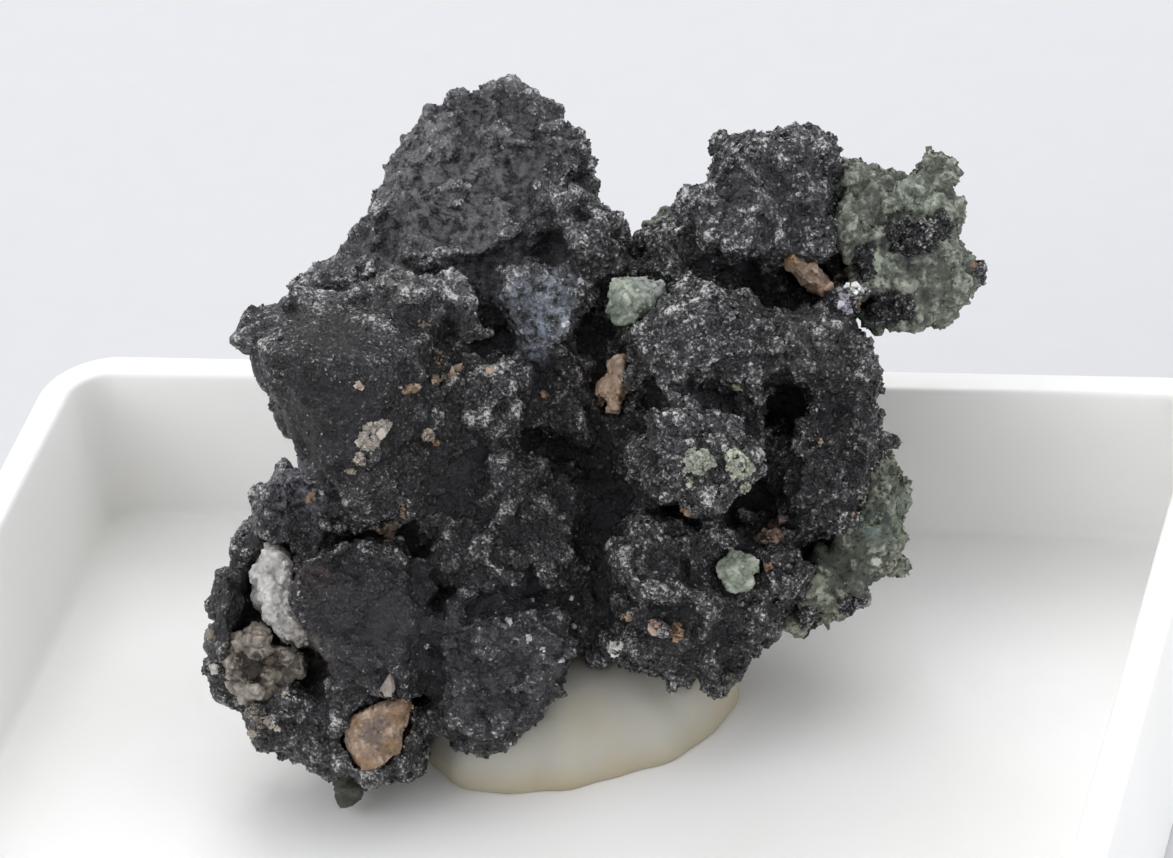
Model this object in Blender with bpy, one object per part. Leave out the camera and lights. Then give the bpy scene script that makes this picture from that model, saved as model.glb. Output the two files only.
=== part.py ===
"""Native silver specimen fixed with tack in a shallow white plastic collector's tray.

Lengths are in millimetres while a shape is built, and each finished mesh is written in metres. The tray's
underside centre is the origin, +Z is up and the tray's long side runs along X.

The rock is drawn in its own display frame: x to the right across its display face, y up that face and z out
of it. DISPLAY_TO_TRAY then leans and turns the whole rock into the way it sits in the tray.
"""

import math
import random
from dataclasses import dataclass

import bmesh
import bpy
from mathutils import Matrix, Vector, noise

METRES_PER_MM = 0.001
FIT_GAP = 0.3
SEAT_GAP = 0.42

# Tray: outer size at the rim, wall draft and corner roundings.
TRAY_WIDTH = 41.0
TRAY_DEPTH = 34.0
TRAY_HEIGHT = 6.8
TRAY_FLOOR = 1.0
TRAY_WALL = 1.1
TRAY_DRAFT = 0.25
TRAY_CORNER_RADIUS = 2.4
TRAY_EDGE_ROUNDING = 0.22
TRAY_FLOOR_FILLET = 0.5
CORNER_STEPS = 4

# Tack: a pressed blob between the tray's floor and the rock.
TACK_CENTRE = (-0.1, 6.1)
TACK_RADIUS = 4.9
TACK_HEIGHT = 3.1
TACK_TOP_SHARE = 0.62
TACK_SIDES = 24

# Where the rock's display frame sits: its origin in the tray, and how far it turns, leans back and rolls.
ROCK_ORIGIN = Vector((2.6, 4.35, 13.5))
ROCK_TURN_DEG = 20.0
ROCK_LEAN_DEG = 55.0
ROCK_ROLL_DEG = -10.5
DISPLAY_TO_TRAY = (
    Matrix.Translation(ROCK_ORIGIN)
    @ Matrix.Rotation(math.radians(ROCK_TURN_DEG), 4, "Z")
    @ Matrix.Rotation(math.radians(ROCK_LEAN_DEG), 4, "X")
    @ Matrix.Rotation(math.radians(ROCK_ROLL_DEG), 4, "Z")
)

# Surface of the rock: voxel size of the union, then relief as pairs of lump size and height.
ROCK_VOXEL = 0.30
SILVER_TRIANGLES = 4900
SILVER_RELIEF = ((3.0, 0.13), (1.4, 0.19), (0.8, 0.16))
GREEN_RELIEF = ((1.6, 0.16), (0.8, 0.14))
CRYSTAL_RELIEF = ((0.9, 0.05),)
INCLUSION_VOXEL = 0.16
SOCKET_VOXEL = 0.24
SOCKET_SHARE = 0.08
SEAT_SHARE = 0.055
SEAT_VOXEL = 0.36


@dataclass(frozen=True)
class Block:
    """A flat-faced lump: an outline on the display plane between a back and a front depth.

    The front and back faces are the outline drawn in by `inset`, and `shoulder` is how far behind the front
    face the full outline starts. `tilt` is the front face's rise in z per millimetre to the right and up.
    """

    outline: tuple
    back: float
    front: float
    tilt: tuple = (0.0, 0.0)
    inset: float = 0.28
    shoulder: float = 1.2

    def points(self):
        """The block's corners."""
        centre = sum((Vector(p) for p in self.outline), Vector((0, 0))) / len(self.outline)
        shoulder = min(self.shoulder, 0.45 * (self.front - self.back))
        found = []
        for corner in self.outline:
            full = Vector(corner)
            arm = full - centre
            drawn_in = centre + arm * (1 - self.inset)
            rise = self.tilt[0] * arm.x + self.tilt[1] * arm.y
            found += [
                Vector((*drawn_in, self.front + rise * (1 - self.inset))),
                Vector((*full, self.front - shoulder + rise)),
                Vector((*full, self.back + shoulder)),
                Vector((*drawn_in, self.back)),
            ]
        return found


@dataclass(frozen=True)
class Boulder:
    """A small chipped lump: flat facets on an ellipsoid of the given centre and half sizes."""

    centre: tuple
    half: tuple
    seed: int = 1
    corners: int = 15

    def points(self):
        """The boulder's corners."""
        chips = random.Random(self.seed)
        half = Vector(self.half)
        found = []
        for _ in range(self.corners):
            way = Vector([chips.gauss(0, 1) for _ in range(3)]).normalized()
            found.append(Vector(self.centre) + way * half)
        for axis in range(3):
            for side in (-0.92, 0.92):
                reach = Vector((0, 0, 0))
                reach[axis] = side * half[axis]
                found.append(Vector(self.centre) + reach)
        return found


@dataclass(frozen=True)
class Hewn:
    """A sharp-edged lump given by its own corners."""

    corners: tuple

    def points(self):
        """The lump's corners."""
        return [Vector(corner) for corner in self.corners]


# The silver, from its hidden core out to the lumps on its display face.
SILVER_CORE = (
    Block(((-6, 3), (0, 3.4), (7, 4.6), (8.3, 1), (7, -4.6), (2, -6.2), (-4, -7), (-8, -5.5), (-8, 0)),
          back=-9.0, front=-4.4, inset=0.2),
    Block(((-8, 2), (-4, 4.5), (4, 4.4), (7.4, 2.5), (7.4, -2.5), (3, -5.6), (-4, -7.2), (-8.4, -5)),
          back=-11.2, front=-6.0, inset=0.35, shoulder=2.0),
    Boulder((-0.8, -5.4, -6.8), (3.0, 1.9, 1.9), seed=5, corners=22),
)
UPPER_LEFT_WEDGE = (
    Hewn((
        # back of the flat top, then the brow, the front's lower edge and point, and the hidden back
        (-10.8, 3.9, -2.4), (-9.0, 4.35, -2.2), (-7.6, 4.5, -2.0), (-5.6, 4.3, -1.9), (-4.6, 3.7, -2.0),
        (-10.9, 2.85, -0.8), (-10.1, 2.6, 0.5), (-8.4, 2.2, 1.3), (-6.6, 2.3, 1.3), (-4.9, 2.75, 0.3),
        (-10.3, 1.5, -1.2), (-9.4, 0.0, -1.3), (-8.7, -1.4, -1.1), (-8.2, 0.2, 0.7), (-7.2, -2.8, -0.7),
        (-6.4, -3.35, -0.7), (-5.5, -2.8, -1.0), (-5.1, -0.2, -0.4), (-6.6, -1.5, 0.5),
        (-10.2, 3.0, -5.0), (-9.2, 0.4, -4.5), (-7.0, -2.5, -4.5), (-5.2, -2.2, -4.6), (-4.8, 3.0, -5.0),
    )),
    Block(((-6.2, 3.0), (-4.0, 2.8), (-3.6, 0.8), (-3.9, -1.6), (-5.2, -3.0), (-6.4, -2.4)),
          back=-6.0, front=-1.4, inset=0.25),
    Boulder((-4.8, 4.2, -1.7), (1.3, 0.75, 1.5), seed=11),
    Boulder((-3.8, 3.5, -1.4), (0.8, 0.9, 1.3), seed=12),
    Boulder((-9.4, 0.5, -4.0), (0.75, 0.8, 1.8), seed=13),
)
UPPER_LEFT_PEAK = (
    Block(((-10.0, 4.0), (-9.3, 4.9), (-8.4, 5.45), (-7.5, 5.9), (-5.5, 6.0), (-5.0, 2.5), (-8.6, 2.0)),
          back=-8.0, front=-4.0, inset=0.25),
    Block(((-7.7, 5.7), (-7.2, 7.0), (-6.5, 8.4), (-6.1, 9.3), (-5.5, 9.9), (-4.4, 10.4), (-2.5, 10.6),
           (-1.2, 10.1), (-0.4, 9.3), (0.0, 8.2), (0.1, 7.0), (-0.2, 4.5), (-1.6, 3.0), (-5.0, 2.6),
           (-7.2, 3.6)),
          back=-8.8, front=-5.0, tilt=(0.0, -0.12), inset=0.2, shoulder=1.5),
    Block(((-4.9, 10.2), (-4.3, 10.7), (-3.5, 11.15), (-1.6, 11.1), (-1.2, 10.4), (-1.4, 9.8), (-4.8, 9.6)),
          back=-8.0, front=-5.6, inset=0.12, shoulder=0.6),
    Block(((-1.4, 10.0), (-0.7, 9.9), (-0.2, 9.2), (0.1, 8.5), (-0.1, 7.9), (-1.3, 7.9), (-1.8, 9.0)),
          back=-7.6, front=-4.6, inset=0.25, shoulder=0.8),
    Block(((-1.9, 8.1), (0.0, 7.9), (0.4, 7.0), (0.2, 6.3), (-1.4, 6.5)), back=-8.0, front=-4.2, inset=0.3),
    Block(((-0.9, 6.4), (0.4, 6.85), (0.95, 6.85), (1.15, 6.2), (1.55, 5.5), (1.3, 4.8), (0.6, 4.4),
           (-0.6, 4.8)), back=-7.6, front=-3.4, inset=0.22, shoulder=0.8),
    Block(((-2.9, 5.0), (-1.8, 5.4), (-0.4, 5.0), (0.25, 4.6), (-0.3, 3.0), (-1.3, 2.5), (-2.3, 2.8),
           (-2.9, 3.9)), back=-6.5, front=-2.7, inset=0.14, shoulder=0.7),
    Boulder((-4.3, 7.2, -5.2), (1.3, 1.1, 0.9), seed=21),
    Boulder((-5.9, 7.2, -6.0), (0.9, 1.3, 0.9), seed=22),
    Boulder((-2.8, 8.8, -5.7), (1.3, 0.9, 0.9), seed=23),
    Boulder((-2.5, 6.4, -4.7), (1.1, 0.9, 0.9), seed=24),
    Boulder((-4.5, 5.5, -4.4), (1.2, 0.9, 1.0), seed=25),
    Boulder((-6.9, 5.0, -4.6), (1.1, 0.8, 0.9), seed=26),
)
LOWER_LEFT = (
    Block(((-9.9, -1.4), (-10.6, -2.1), (-10.95, -3.4), (-11.4, -4.3), (-11.9, -5.1), (-12.2, -6.6),
           (-12.1, -7.6), (-11.6, -8.8), (-10.9, -9.8), (-9.4, -10.5), (-6.2, -11.0), (-5.4, -10.5),
           (-5.0, -8.0), (-5.2, -3.5), (-7.6, -1.6)),
          back=-8.4, front=-5.5, inset=0.1, shoulder=0.8),
    Block(((-10.9, -3.9), (-11.9, -5.0), (-12.15, -6.6), (-12.05, -7.6), (-11.5, -8.0), (-11.2, -6.4),
           (-10.6, -4.6)), back=-7.0, front=-3.2, inset=0.2, shoulder=0.6),
    Block(((-9.6, -4.1), (-8.4, -3.7), (-6.4, -3.6), (-5.3, -3.9), (-5.1, -6.0), (-5.3, -8.2), (-6.2, -8.9),
           (-7.8, -9.2), (-8.4, -7.6), (-8.9, -6.4)),
          back=-6.5, front=-2.4, tilt=(0.04, 0.06), inset=0.1, shoulder=0.7),
    Block(((-8.8, -8.2), (-6.2, -8.4), (-5.3, -9.3), (-5.3, -10.8), (-6.2, -11.3), (-7.3, -11.1),
           (-8.7, -11.0), (-9.8, -10.3), (-10.6, -9.2), (-10.0, -8.3)),
          back=-7.6, front=-3.0, inset=0.2, shoulder=0.8),
    Block(((-10.4, -1.8), (-9.9, -1.35), (-8.6, -1.2), (-7.6, -2.0), (-7.8, -3.3), (-9.4, -3.7),
           (-10.8, -3.3)), back=-7.0, front=-3.6, inset=0.2, shoulder=0.6),
    Block(((-11.7, -6.6), (-10.4, -6.6), (-8.9, -7.2), (-8.8, -8.6), (-10.4, -8.9), (-11.7, -8.2)),
          back=-7.0, front=-4.6, inset=0.25, shoulder=0.6),
    Boulder((-9.8, -10.4, -4.6), (0.35, 0.6, 0.5), seed=31),
    Boulder((-9.9, -9.0, -4.0), (0.9, 0.8, 0.9), seed=32),
    Boulder((-6.9, -3.7, -2.9), (1.0, 0.35, 0.6), seed=33),
)
LOWER_MIDDLE = (
    Block(((-5.1, -5.9), (-4.5, -5.2), (-3.2, -4.95), (-1.5, -5.1), (-0.5, -5.4), (-0.2, -6.4), (-0.6, -7.6),
           (-1.5, -8.4), (-1.7, -9.8), (-2.2, -10.15), (-4.2, -10.25), (-4.9, -9.6), (-5.2, -8.0)),
          back=-6.6, front=-3.0, inset=0.3),
    Boulder((-4.2, -6.3, -3.1), (0.95, 1.1, 0.9), seed=41),
    Boulder((-2.5, -6.2, -2.9), (1.2, 1.0, 0.9), seed=42),
    Boulder((-1.0, -6.4, -3.0), (0.75, 1.1, 0.9), seed=43),
    Boulder((-3.3, -8.6, -3.4), (1.6, 1.4, 1.0), seed=44),
    Boulder((-1.3, -8.2, -4.4), (0.75, 0.95, 1.0), seed=45),
    Boulder((-1.9, -9.5, -4.4), (0.5, 0.6, 0.8), seed=46),
)
CENTRE = (
    Block(((-3.7, 2.3), (-2.3, 2.3), (-1.8, 1.2), (-1.9, -0.2), (-2.6, -0.8), (-3.5, -0.5), (-3.9, 0.8)),
          back=-5.5, front=-1.5, inset=0.25, shoulder=0.7),
    Block(((-2.1, 2.9), (-0.4, 2.8), (0.3, 1.6), (0.1, 0.0), (-1.2, -0.4), (-2.0, 0.6)),
          back=-6.0, front=-3.1, inset=0.25, shoulder=0.7),
    Block(((-3.4, -0.7), (-1.6, -0.9), (-0.9, -2.0), (-1.3, -3.2), (-2.8, -3.3), (-3.6, -2.2)),
          back=-5.5, front=-1.8, inset=0.25, shoulder=0.7),
    Block(((-5.0, -2.8), (-3.4, -2.6), (-2.2, -3.2), (-1.8, -4.6), (-3.8, -5.2), (-5.1, -4.6)),
          back=-6.0, front=-2.5, inset=0.25, shoulder=0.7),
    Block(((-1.2, -1.4), (-0.3, -1.2), (0.0, -2.5), (-0.1, -4.3), (-1.0, -5.1), (-1.9, -4.3), (-1.5, -2.8)),
          back=-6.5, front=-2.5, inset=0.25, shoulder=0.7),
    Boulder((-4.3, -1.1, -3.2), (0.9, 1.6, 1.2), seed=51),
    Boulder((-2.6, 1.4, -1.8), (0.8, 0.7, 0.7), seed=52),
    Boulder((-2.2, -2.1, -2.0), (0.8, 0.7, 0.7), seed=53),
)
UPPER_RIGHT_TOWER = (
    Block(((4.5, 9.2), (5.2, 9.3), (6.6, 9.4), (7.8, 9.3), (8.0, 8.7), (7.9, 7.0), (7.8, 5.6), (7.2, 5.1),
           (5.5, 5.2), (3.9, 5.6), (3.1, 6.8), (3.7, 7.8), (4.2, 8.9)),
          back=-6.3, front=-2.5, tilt=(-0.1, -0.12), inset=0.08, shoulder=0.7),
    Block(((3.6, 7.7), (2.9, 7.1), (2.3, 6.2), (1.9, 5.0), (2.4, 4.2), (4.2, 4.2), (5.2, 5.4), (4.6, 7.2)),
          back=-8.4, front=-3.2, inset=0.25),
    Block(((4.0, 5.6), (7.8, 5.6), (8.4, 4.0), (7.6, 2.6), (4.0, 3.0)), back=-8.6, front=-4.2, inset=0.2),
    Block(((6.9, 8.0), (8.6, 8.0), (10.0, 7.0), (10.6, 5.2), (9.6, 3.9), (7.6, 3.4), (6.8, 5.0)),
          back=-7.4, front=-4.4, inset=0.25),
    Boulder((6.5, 6.2, -3.0), (0.7, 0.5, 0.7), seed=61),
    Boulder((7.4, 5.9, -3.1), (0.5, 0.6, 0.7), seed=62),
    Boulder((4.9, 6.8, -3.0), (1.2, 0.6, 0.7), seed=63),
    Boulder((8.1, 4.0, -3.2), (0.6, 0.7, 0.9), seed=64),
)
RIGHT_MASS = (
    Block(((1.3, 3.2), (2.0, 3.7), (2.4, 4.4), (3.2, 4.65), (4.3, 4.55), (5.2, 4.1), (5.6, 3.2), (5.1, 2.1),
           (4.0, 1.3), (2.9, 0.9), (1.9, 1.5), (1.4, 2.4)),
          back=-6.0, front=-0.2, tilt=(0.05, -0.1), inset=0.22, shoulder=0.9),
    Block(((4.9, 3.5), (6.6, 3.65), (8.0, 3.5), (9.0, 2.9), (9.3, 2.2), (9.1, 1.5), (7.8, 0.8), (6.7, 1.7),
           (5.6, 1.5), (4.7, 2.2)),
          back=-7.0, front=-1.0, inset=0.2, shoulder=0.9),
    Block(((6.8, 1.3), (7.8, 1.3), (9.1, 1.4), (9.2, 0.3), (9.3, -0.6), (9.4, -1.2), (9.0, -2.2), (8.0, -3.2),
           (6.9, -3.3), (6.2, -2.2), (6.4, -0.5)),
          back=-7.0, front=-1.6, inset=0.2, shoulder=0.9),
    Block(((7.0, -0.6), (9.0, -0.8), (9.6, -2.0), (9.3, -3.8), (8.2, -5.0), (6.6, -5.6), (6.0, -3.0)),
          back=-7.6, front=-4.2, inset=0.2),
    Block(((4.2, 1.9), (6.0, 1.5), (5.7, 0.6), (5.6, -0.6), (4.0, 0.0)), back=-5.0, front=-1.9, inset=0.25),
    Block(((1.2, 2.0), (2.4, 1.6), (2.6, -2.0), (1.6, -3.0), (0.9, -1.5), (0.8, 0.6)),
          back=-6.0, front=-2.8, inset=0.2),
    Boulder((9.1, 2.2, -2.7), (0.42, 0.45, 0.8), seed=71),
    Boulder((9.1, 1.05, -2.7), (0.38, 0.35, 0.7), seed=72),
    Boulder((9.2, -0.85, -2.8), (0.35, 0.4, 0.7), seed=73),
    Boulder((7.3, 2.4, -1.3), (1.0, 0.8, 0.7), seed=74),
    Boulder((7.8, -0.1, -2.0), (0.9, 0.8, 0.8), seed=75),
    Boulder((7.5, -2.4, -2.0), (0.8, 0.9, 0.8), seed=76),
    Boulder((5.0, 1.4, -1.3), (0.55, 0.55, 0.7), seed=77),
)
KNOB = (
    Block(((2.0, 0.45), (2.6, 0.85), (3.3, 0.95), (4.3, 0.3), (5.1, -0.3), (5.6, -1.2), (5.3, -1.7),
           (4.3, -2.5), (3.7, -2.7), (3.0, -2.2), (2.0, -1.9), (1.6, -1.1), (1.5, -0.4)),
          back=-4.0, front=1.5, inset=0.3, shoulder=1.1),
    Boulder((1.9, -1.5, 0.0), (0.55, 0.55, 0.9), seed=81),
    Boulder((4.9, -1.2, 0.6), (0.6, 0.7, 0.7), seed=82),
)
LOWER_RIGHT = (
    Block(((1.0, -3.1), (1.5, -2.6), (2.6, -2.8), (3.1, -3.6), (3.0, -5.2), (2.2, -5.7), (1.2, -5.0),
           (0.8, -3.8)), back=-6.0, front=-0.9, inset=0.25, shoulder=0.8),
    Block(((2.8, -3.0), (5.0, -3.2), (6.8, -3.2), (7.3, -4.4), (6.6, -6.1), (4.6, -6.7), (2.6, -6.1),
           (2.8, -4.5)), back=-6.5, front=-1.9, inset=0.2),
    Block(((0.9, -5.6), (2.3, -5.5), (4.8, -6.1), (5.1, -7.2), (5.0, -8.0), (4.2, -8.4), (3.2, -8.2),
           (2.4, -8.0), (1.7, -7.2), (0.8, -7.0), (0.5, -6.2)), back=-6.6, front=-2.7, inset=0.2),
    Boulder((4.3, -8.1, -3.5), (0.85, 0.75, 1.0), seed=91),
    Boulder((2.8, -8.1, -3.5), (0.42, 0.5, 0.6), seed=92),
    Boulder((5.5, -6.6, -3.2), (0.42, 0.42, 0.8), seed=93),
    Boulder((5.6, -5.0, -2.0), (0.9, 0.8, 0.7), seed=94),
    Boulder((3.6, -5.6, -2.1), (0.8, 0.7, 0.7), seed=95),
    Boulder((2.0, -6.5, -2.8), (0.9, 0.5, 0.6), seed=96),
)
# Places with flat, smoother faces: middle, radius, and the share of the relief that is left there.
CALM_PLACES = (
    (Vector((-8.2, 1.4, 0.8)), 3.8, 0.30),
    (Vector((-1.4, 3.9, -2.7)), 1.7, 0.25),
    (Vector((-7.2, -6.3, -2.6)), 2.4, 0.50),
    (Vector((3.0, 2.8, -0.6)), 1.9, 0.45),
    (Vector((6.0, 8.2, -2.6)), 1.8, 0.60),
)
SILVER = (SILVER_CORE + UPPER_LEFT_WEDGE + UPPER_LEFT_PEAK + LOWER_LEFT + LOWER_MIDDLE + CENTRE
          + UPPER_RIGHT_TOWER + RIGHT_MASS + KNOB + LOWER_RIGHT)

# Other minerals grown into the silver. Each lies in its own socket in the silver.
GREEN_UPPER = (
    Block(((8.0, 8.2), (8.7, 8.45), (9.4, 8.0), (10.4, 7.8), (11.6, 7.9), (11.7, 6.5), (12.1, 6.0),
           (12.3, 4.3), (11.6, 3.35), (10.4, 3.3), (9.2, 3.3), (8.6, 4.6), (8.1, 6.5)),
          back=-6.4, front=-3.4, tilt=(0.0, -0.08), inset=0.18, shoulder=1.0),
    Block(((10.3, 7.7), (10.7, 8.45), (11.2, 8.9), (11.5, 8.5), (11.85, 8.3), (11.7, 7.0), (10.5, 6.8)),
          back=-5.8, front=-3.8, inset=0.25, shoulder=0.6),
    Block(((8.0, 8.3), (8.7, 8.6), (9.1, 8.2), (9.0, 7.2), (8.2, 7.2)), back=-6.4, front=-4.0, inset=0.25,
          shoulder=0.5),
    Boulder((12.1, 4.9, -4.8), (0.7, 0.75, 0.9), seed=101),
    Boulder((11.6, 6.6, -4.6), (0.45, 0.6, 0.8), seed=106),
    Boulder((11.5, 3.75, -4.8), (0.75, 0.55, 0.8), seed=107),
    Boulder((9.9, 3.7, -4.4), (0.9, 0.6, 0.8), seed=108),
    Boulder((9.1, 5.4, -3.9), (0.8, 0.7, 0.7), seed=102),
    Boulder((11.3, 5.6, -4.0), (0.9, 0.6, 0.7), seed=103),
    Boulder((11.2, 4.2, -4.2), (0.9, 0.8, 0.8), seed=104),
    Boulder((9.2, 7.2, -4.1), (1.0, 0.8, 0.7), seed=105),
)
GREEN_LOWER = (
    Block(((9.3, -1.0), (9.9, -1.5), (10.2, -2.2), (10.15, -3.2), (9.9, -4.3), (9.2, -4.8), (8.4, -5.7),
           (7.3, -6.35), (6.3, -6.35), (6.9, -4.8), (8.2, -3.0)),
          back=-7.2, front=-3.1, inset=0.22, shoulder=1.0),
    Boulder((9.5, -2.6, -3.9), (0.8, 1.1, 0.8), seed=111),
    Boulder((8.2, -5.1, -4.1), (0.7, 0.7, 0.8), seed=112),
    Boulder((9.4, -4.2, -4.3), (0.6, 0.5, 0.7), seed=113),
)
GREEN_BACK = (
    Block(((3.5, 7.7), (2.8, 7.3), (2.1, 6.6), (1.5, 5.9), (1.4, 5.0), (3.4, 4.6), (5.0, 6.4)),
          back=-9.5, front=-7.6, inset=0.2, shoulder=0.8),
    Boulder((2.2, 5.9, -8.2), (0.9, 0.9, 0.8), seed=121),
)
GREEN_BEAD = (
    Boulder((1.25, 4.1, -1.9), (0.95, 0.75, 0.85), seed=131),
    Boulder((1.8, 4.4, -2.2), (0.55, 0.5, 0.6), seed=132),
)
GREEN_ROUND_GRAIN = (Boulder((4.75, -4.5, -1.7), (0.62, 0.62, 0.6), seed=135, corners=26),)
WHITE_CRYSTAL = (
    Block(((-10.5, -4.7), (-10.2, -4.05), (-9.75, -3.95), (-9.2, -5.6), (-8.85, -6.6), (-9.4, -6.8),
           (-9.9, -6.3), (-10.4, -5.4)), back=-6.0, front=-3.4, inset=0.22, shoulder=0.6),
)
TAN_CRUST = (
    Boulder((-10.6, -6.9, -4.2), (0.75, 0.6, 0.7), seed=141),
    Boulder((-11.2, -7.4, -4.3), (0.5, 0.45, 0.6), seed=142),
    Boulder((-10.0, -7.5, -4.3), (1.1, 0.6, 0.7), seed=143),
    Boulder((-10.6, -8.3, -4.5), (0.8, 0.55, 0.6), seed=144),
)
BROWN_CRYSTAL_LEFT = (
    Block(((-7.5, -9.4), (-7.2, -9.1), (-6.4, -8.95), (-5.85, -8.6), (-5.85, -9.3), (-6.2, -10.1),
           (-6.9, -10.9), (-7.4, -10.3)), back=-4.6, front=-2.6, inset=0.2, shoulder=0.4),
)
BROWN_CRYSTAL_RIGHT = (
    Block(((6.35, 5.4), (6.8, 5.7), (7.2, 5.15), (7.8, 4.7), (7.7, 4.35), (7.3, 4.3), (6.9, 4.7), (6.4, 5.0)),
          back=-4.6, front=-2.6, inset=0.15, shoulder=0.4),
)
TAN_SHARD_CENTRE = (
    Block(((0.95, 2.3), (1.15, 2.2), (1.25, 1.4), (0.95, 0.5), (0.6, 0.6), (0.3, 1.1), (0.8, 1.5)),
          back=-4.0, front=-2.0, inset=0.15, shoulder=0.3),
)
DARK_GREEN_FOOT = (
    Block(((-8.0, -10.6), (-7.3, -10.6), (-7.2, -12.0), (-7.9, -12.1)), back=-6.6, front=-5.4, inset=0.12,
          shoulder=0.25),
)


def hull_into(bm, points):
    """Adds the closed convex hull of `points` to a bmesh."""
    corners = [bm.verts.new(p) for p in points]
    made = bmesh.ops.convex_hull(bm, input=corners)
    unused = {v for v in made["geom_interior"] + made["geom_unused"] if isinstance(v, bmesh.types.BMVert)}
    bmesh.ops.delete(bm, geom=list(unused), context="VERTS")


def mesh_from_lumps(name, lumps):
    """One mesh that holds the hull of each lump, still as separate overlapping shells."""
    bm = bmesh.new()
    for lump in lumps:
        one = bmesh.new()
        hull_into(one, lump.points())
        bmesh.ops.recalc_face_normals(one, faces=one.faces)
        piece = bpy.data.meshes.new("hull")
        one.to_mesh(piece)
        one.free()
        bm.from_mesh(piece)
        bpy.data.meshes.remove(piece)
    mesh = bpy.data.meshes.new(name)
    bm.to_mesh(mesh)
    bm.free()
    return mesh


def with_modifiers(mesh, *settings):
    """The mesh as Blender's modifiers of these types and settings leave it."""
    helper = bpy.data.objects.new("helper", mesh)
    bpy.context.scene.collection.objects.link(helper)
    for kind, values in settings:
        modifier = helper.modifiers.new(kind.title(), kind)
        for key, value in values.items():
            setattr(modifier, key, value)
    evaluated = helper.evaluated_get(bpy.context.evaluated_depsgraph_get())
    made = bpy.data.meshes.new_from_object(evaluated)
    bpy.data.objects.remove(helper)
    return made


def calm(point, places):
    """The share of the relief that is left at a point, which is smallest in the middle of a calm place."""
    left = 1.0
    for middle, radius, share in places:
        apart = (point - middle).length / radius
        left = min(left, share + (1 - share) * max(0.0, min(1.0, 2 * apart - 1)))
    return left


def roughen(mesh, scales, seed, calm_places):
    """Moves each vertex along its normal into rounded lumps with creases between them.

    `scales` are pairs of lump size and height. The size of the noise, without its sign, gives the creases.
    """
    offset = Vector((seed * 7.3, seed * 3.1, seed * 5.7))
    moves = []
    for vertex in mesh.vertices:
        height = sum(
            depth * (2.4 * abs(noise.noise(vertex.co / size + offset, noise_basis="PERLIN_NEW")) - 0.6)
            for size, depth in scales
        )
        moves.append(vertex.normal * 2 * height * calm(vertex.co, calm_places))
    for vertex, move in zip(mesh.vertices, moves):
        vertex.co += move
    mesh.update()


def keep_largest_shell(mesh):
    """Deletes every connected shell of the mesh but the one with the most faces."""
    bm = bmesh.new()
    bm.from_mesh(mesh)
    left = set(bm.verts)
    shells = []
    while left:
        shell, edge_of = set(), [left.pop()]
        while edge_of:
            vertex = edge_of.pop()
            shell.add(vertex)
            near = {edge.other_vert(vertex) for edge in vertex.link_edges} & left
            left -= near
            edge_of += near
        shells.append(shell)
    largest = max(shells, key=len)
    bmesh.ops.delete(bm, geom=[v for v in bm.verts if v not in largest], context="VERTS")
    bm.to_mesh(mesh)
    bm.free()


def joined_rock(name, lumps, voxel, triangles, scales, seed, calm_places=()):
    """The lumps fused into one closed surface, roughened and thinned to about `triangles` triangles."""
    remesh = ("REMESH", {"mode": "VOXEL", "voxel_size": voxel, "adaptivity": 0.0})
    fused = with_modifiers(mesh_from_lumps(name, lumps), remesh)
    keep_largest_shell(fused)
    roughen(fused, scales, seed, calm_places)
    share = min(1.0, triangles / (2 * len(fused.polygons)))
    thinned = with_modifiers(fused, ("DECIMATE", {"ratio": share, "use_collapse_triangulate": True}))
    keep_largest_shell(thinned)
    thinned.name = name
    return thinned


def material(name, colour, roughness, metallic=0.0):
    """A Principled material of one plain colour."""
    made = bpy.data.materials.new(name)
    made.use_nodes = True
    shader = made.node_tree.nodes["Principled BSDF"]
    shader.inputs["Base Color"].default_value = (*colour, 1.0)
    shader.inputs["Roughness"].default_value = roughness
    shader.inputs["Metallic"].default_value = metallic
    made.diffuse_color = (*colour, 1.0)
    return made


def place(name, mesh, finish, frame):
    """Links the mesh as the named object, carried from its own frame in millimetres to the tray's."""
    mesh.transform(Matrix.Scale(METRES_PER_MM, 4) @ frame)
    mesh.materials.clear()
    mesh.materials.append(finish)
    made = bpy.data.objects.new(name, mesh)
    bpy.context.scene.collection.objects.link(made)
    return made


def rounded_ring(half_width, half_depth, radius, height):
    """Points of a rounded rectangle at a height, anticlockwise from above."""
    points = []
    for turn, (side_x, side_y) in enumerate(((1, 1), (-1, 1), (-1, -1), (1, -1))):
        centre = Vector((side_x * (half_width - radius), side_y * (half_depth - radius), height))
        for step in range(CORNER_STEPS + 1):
            angle = math.radians(90 * (turn + step / CORNER_STEPS))
            points.append(centre + Vector((math.cos(angle), math.sin(angle), 0)) * radius)
    return points


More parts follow.
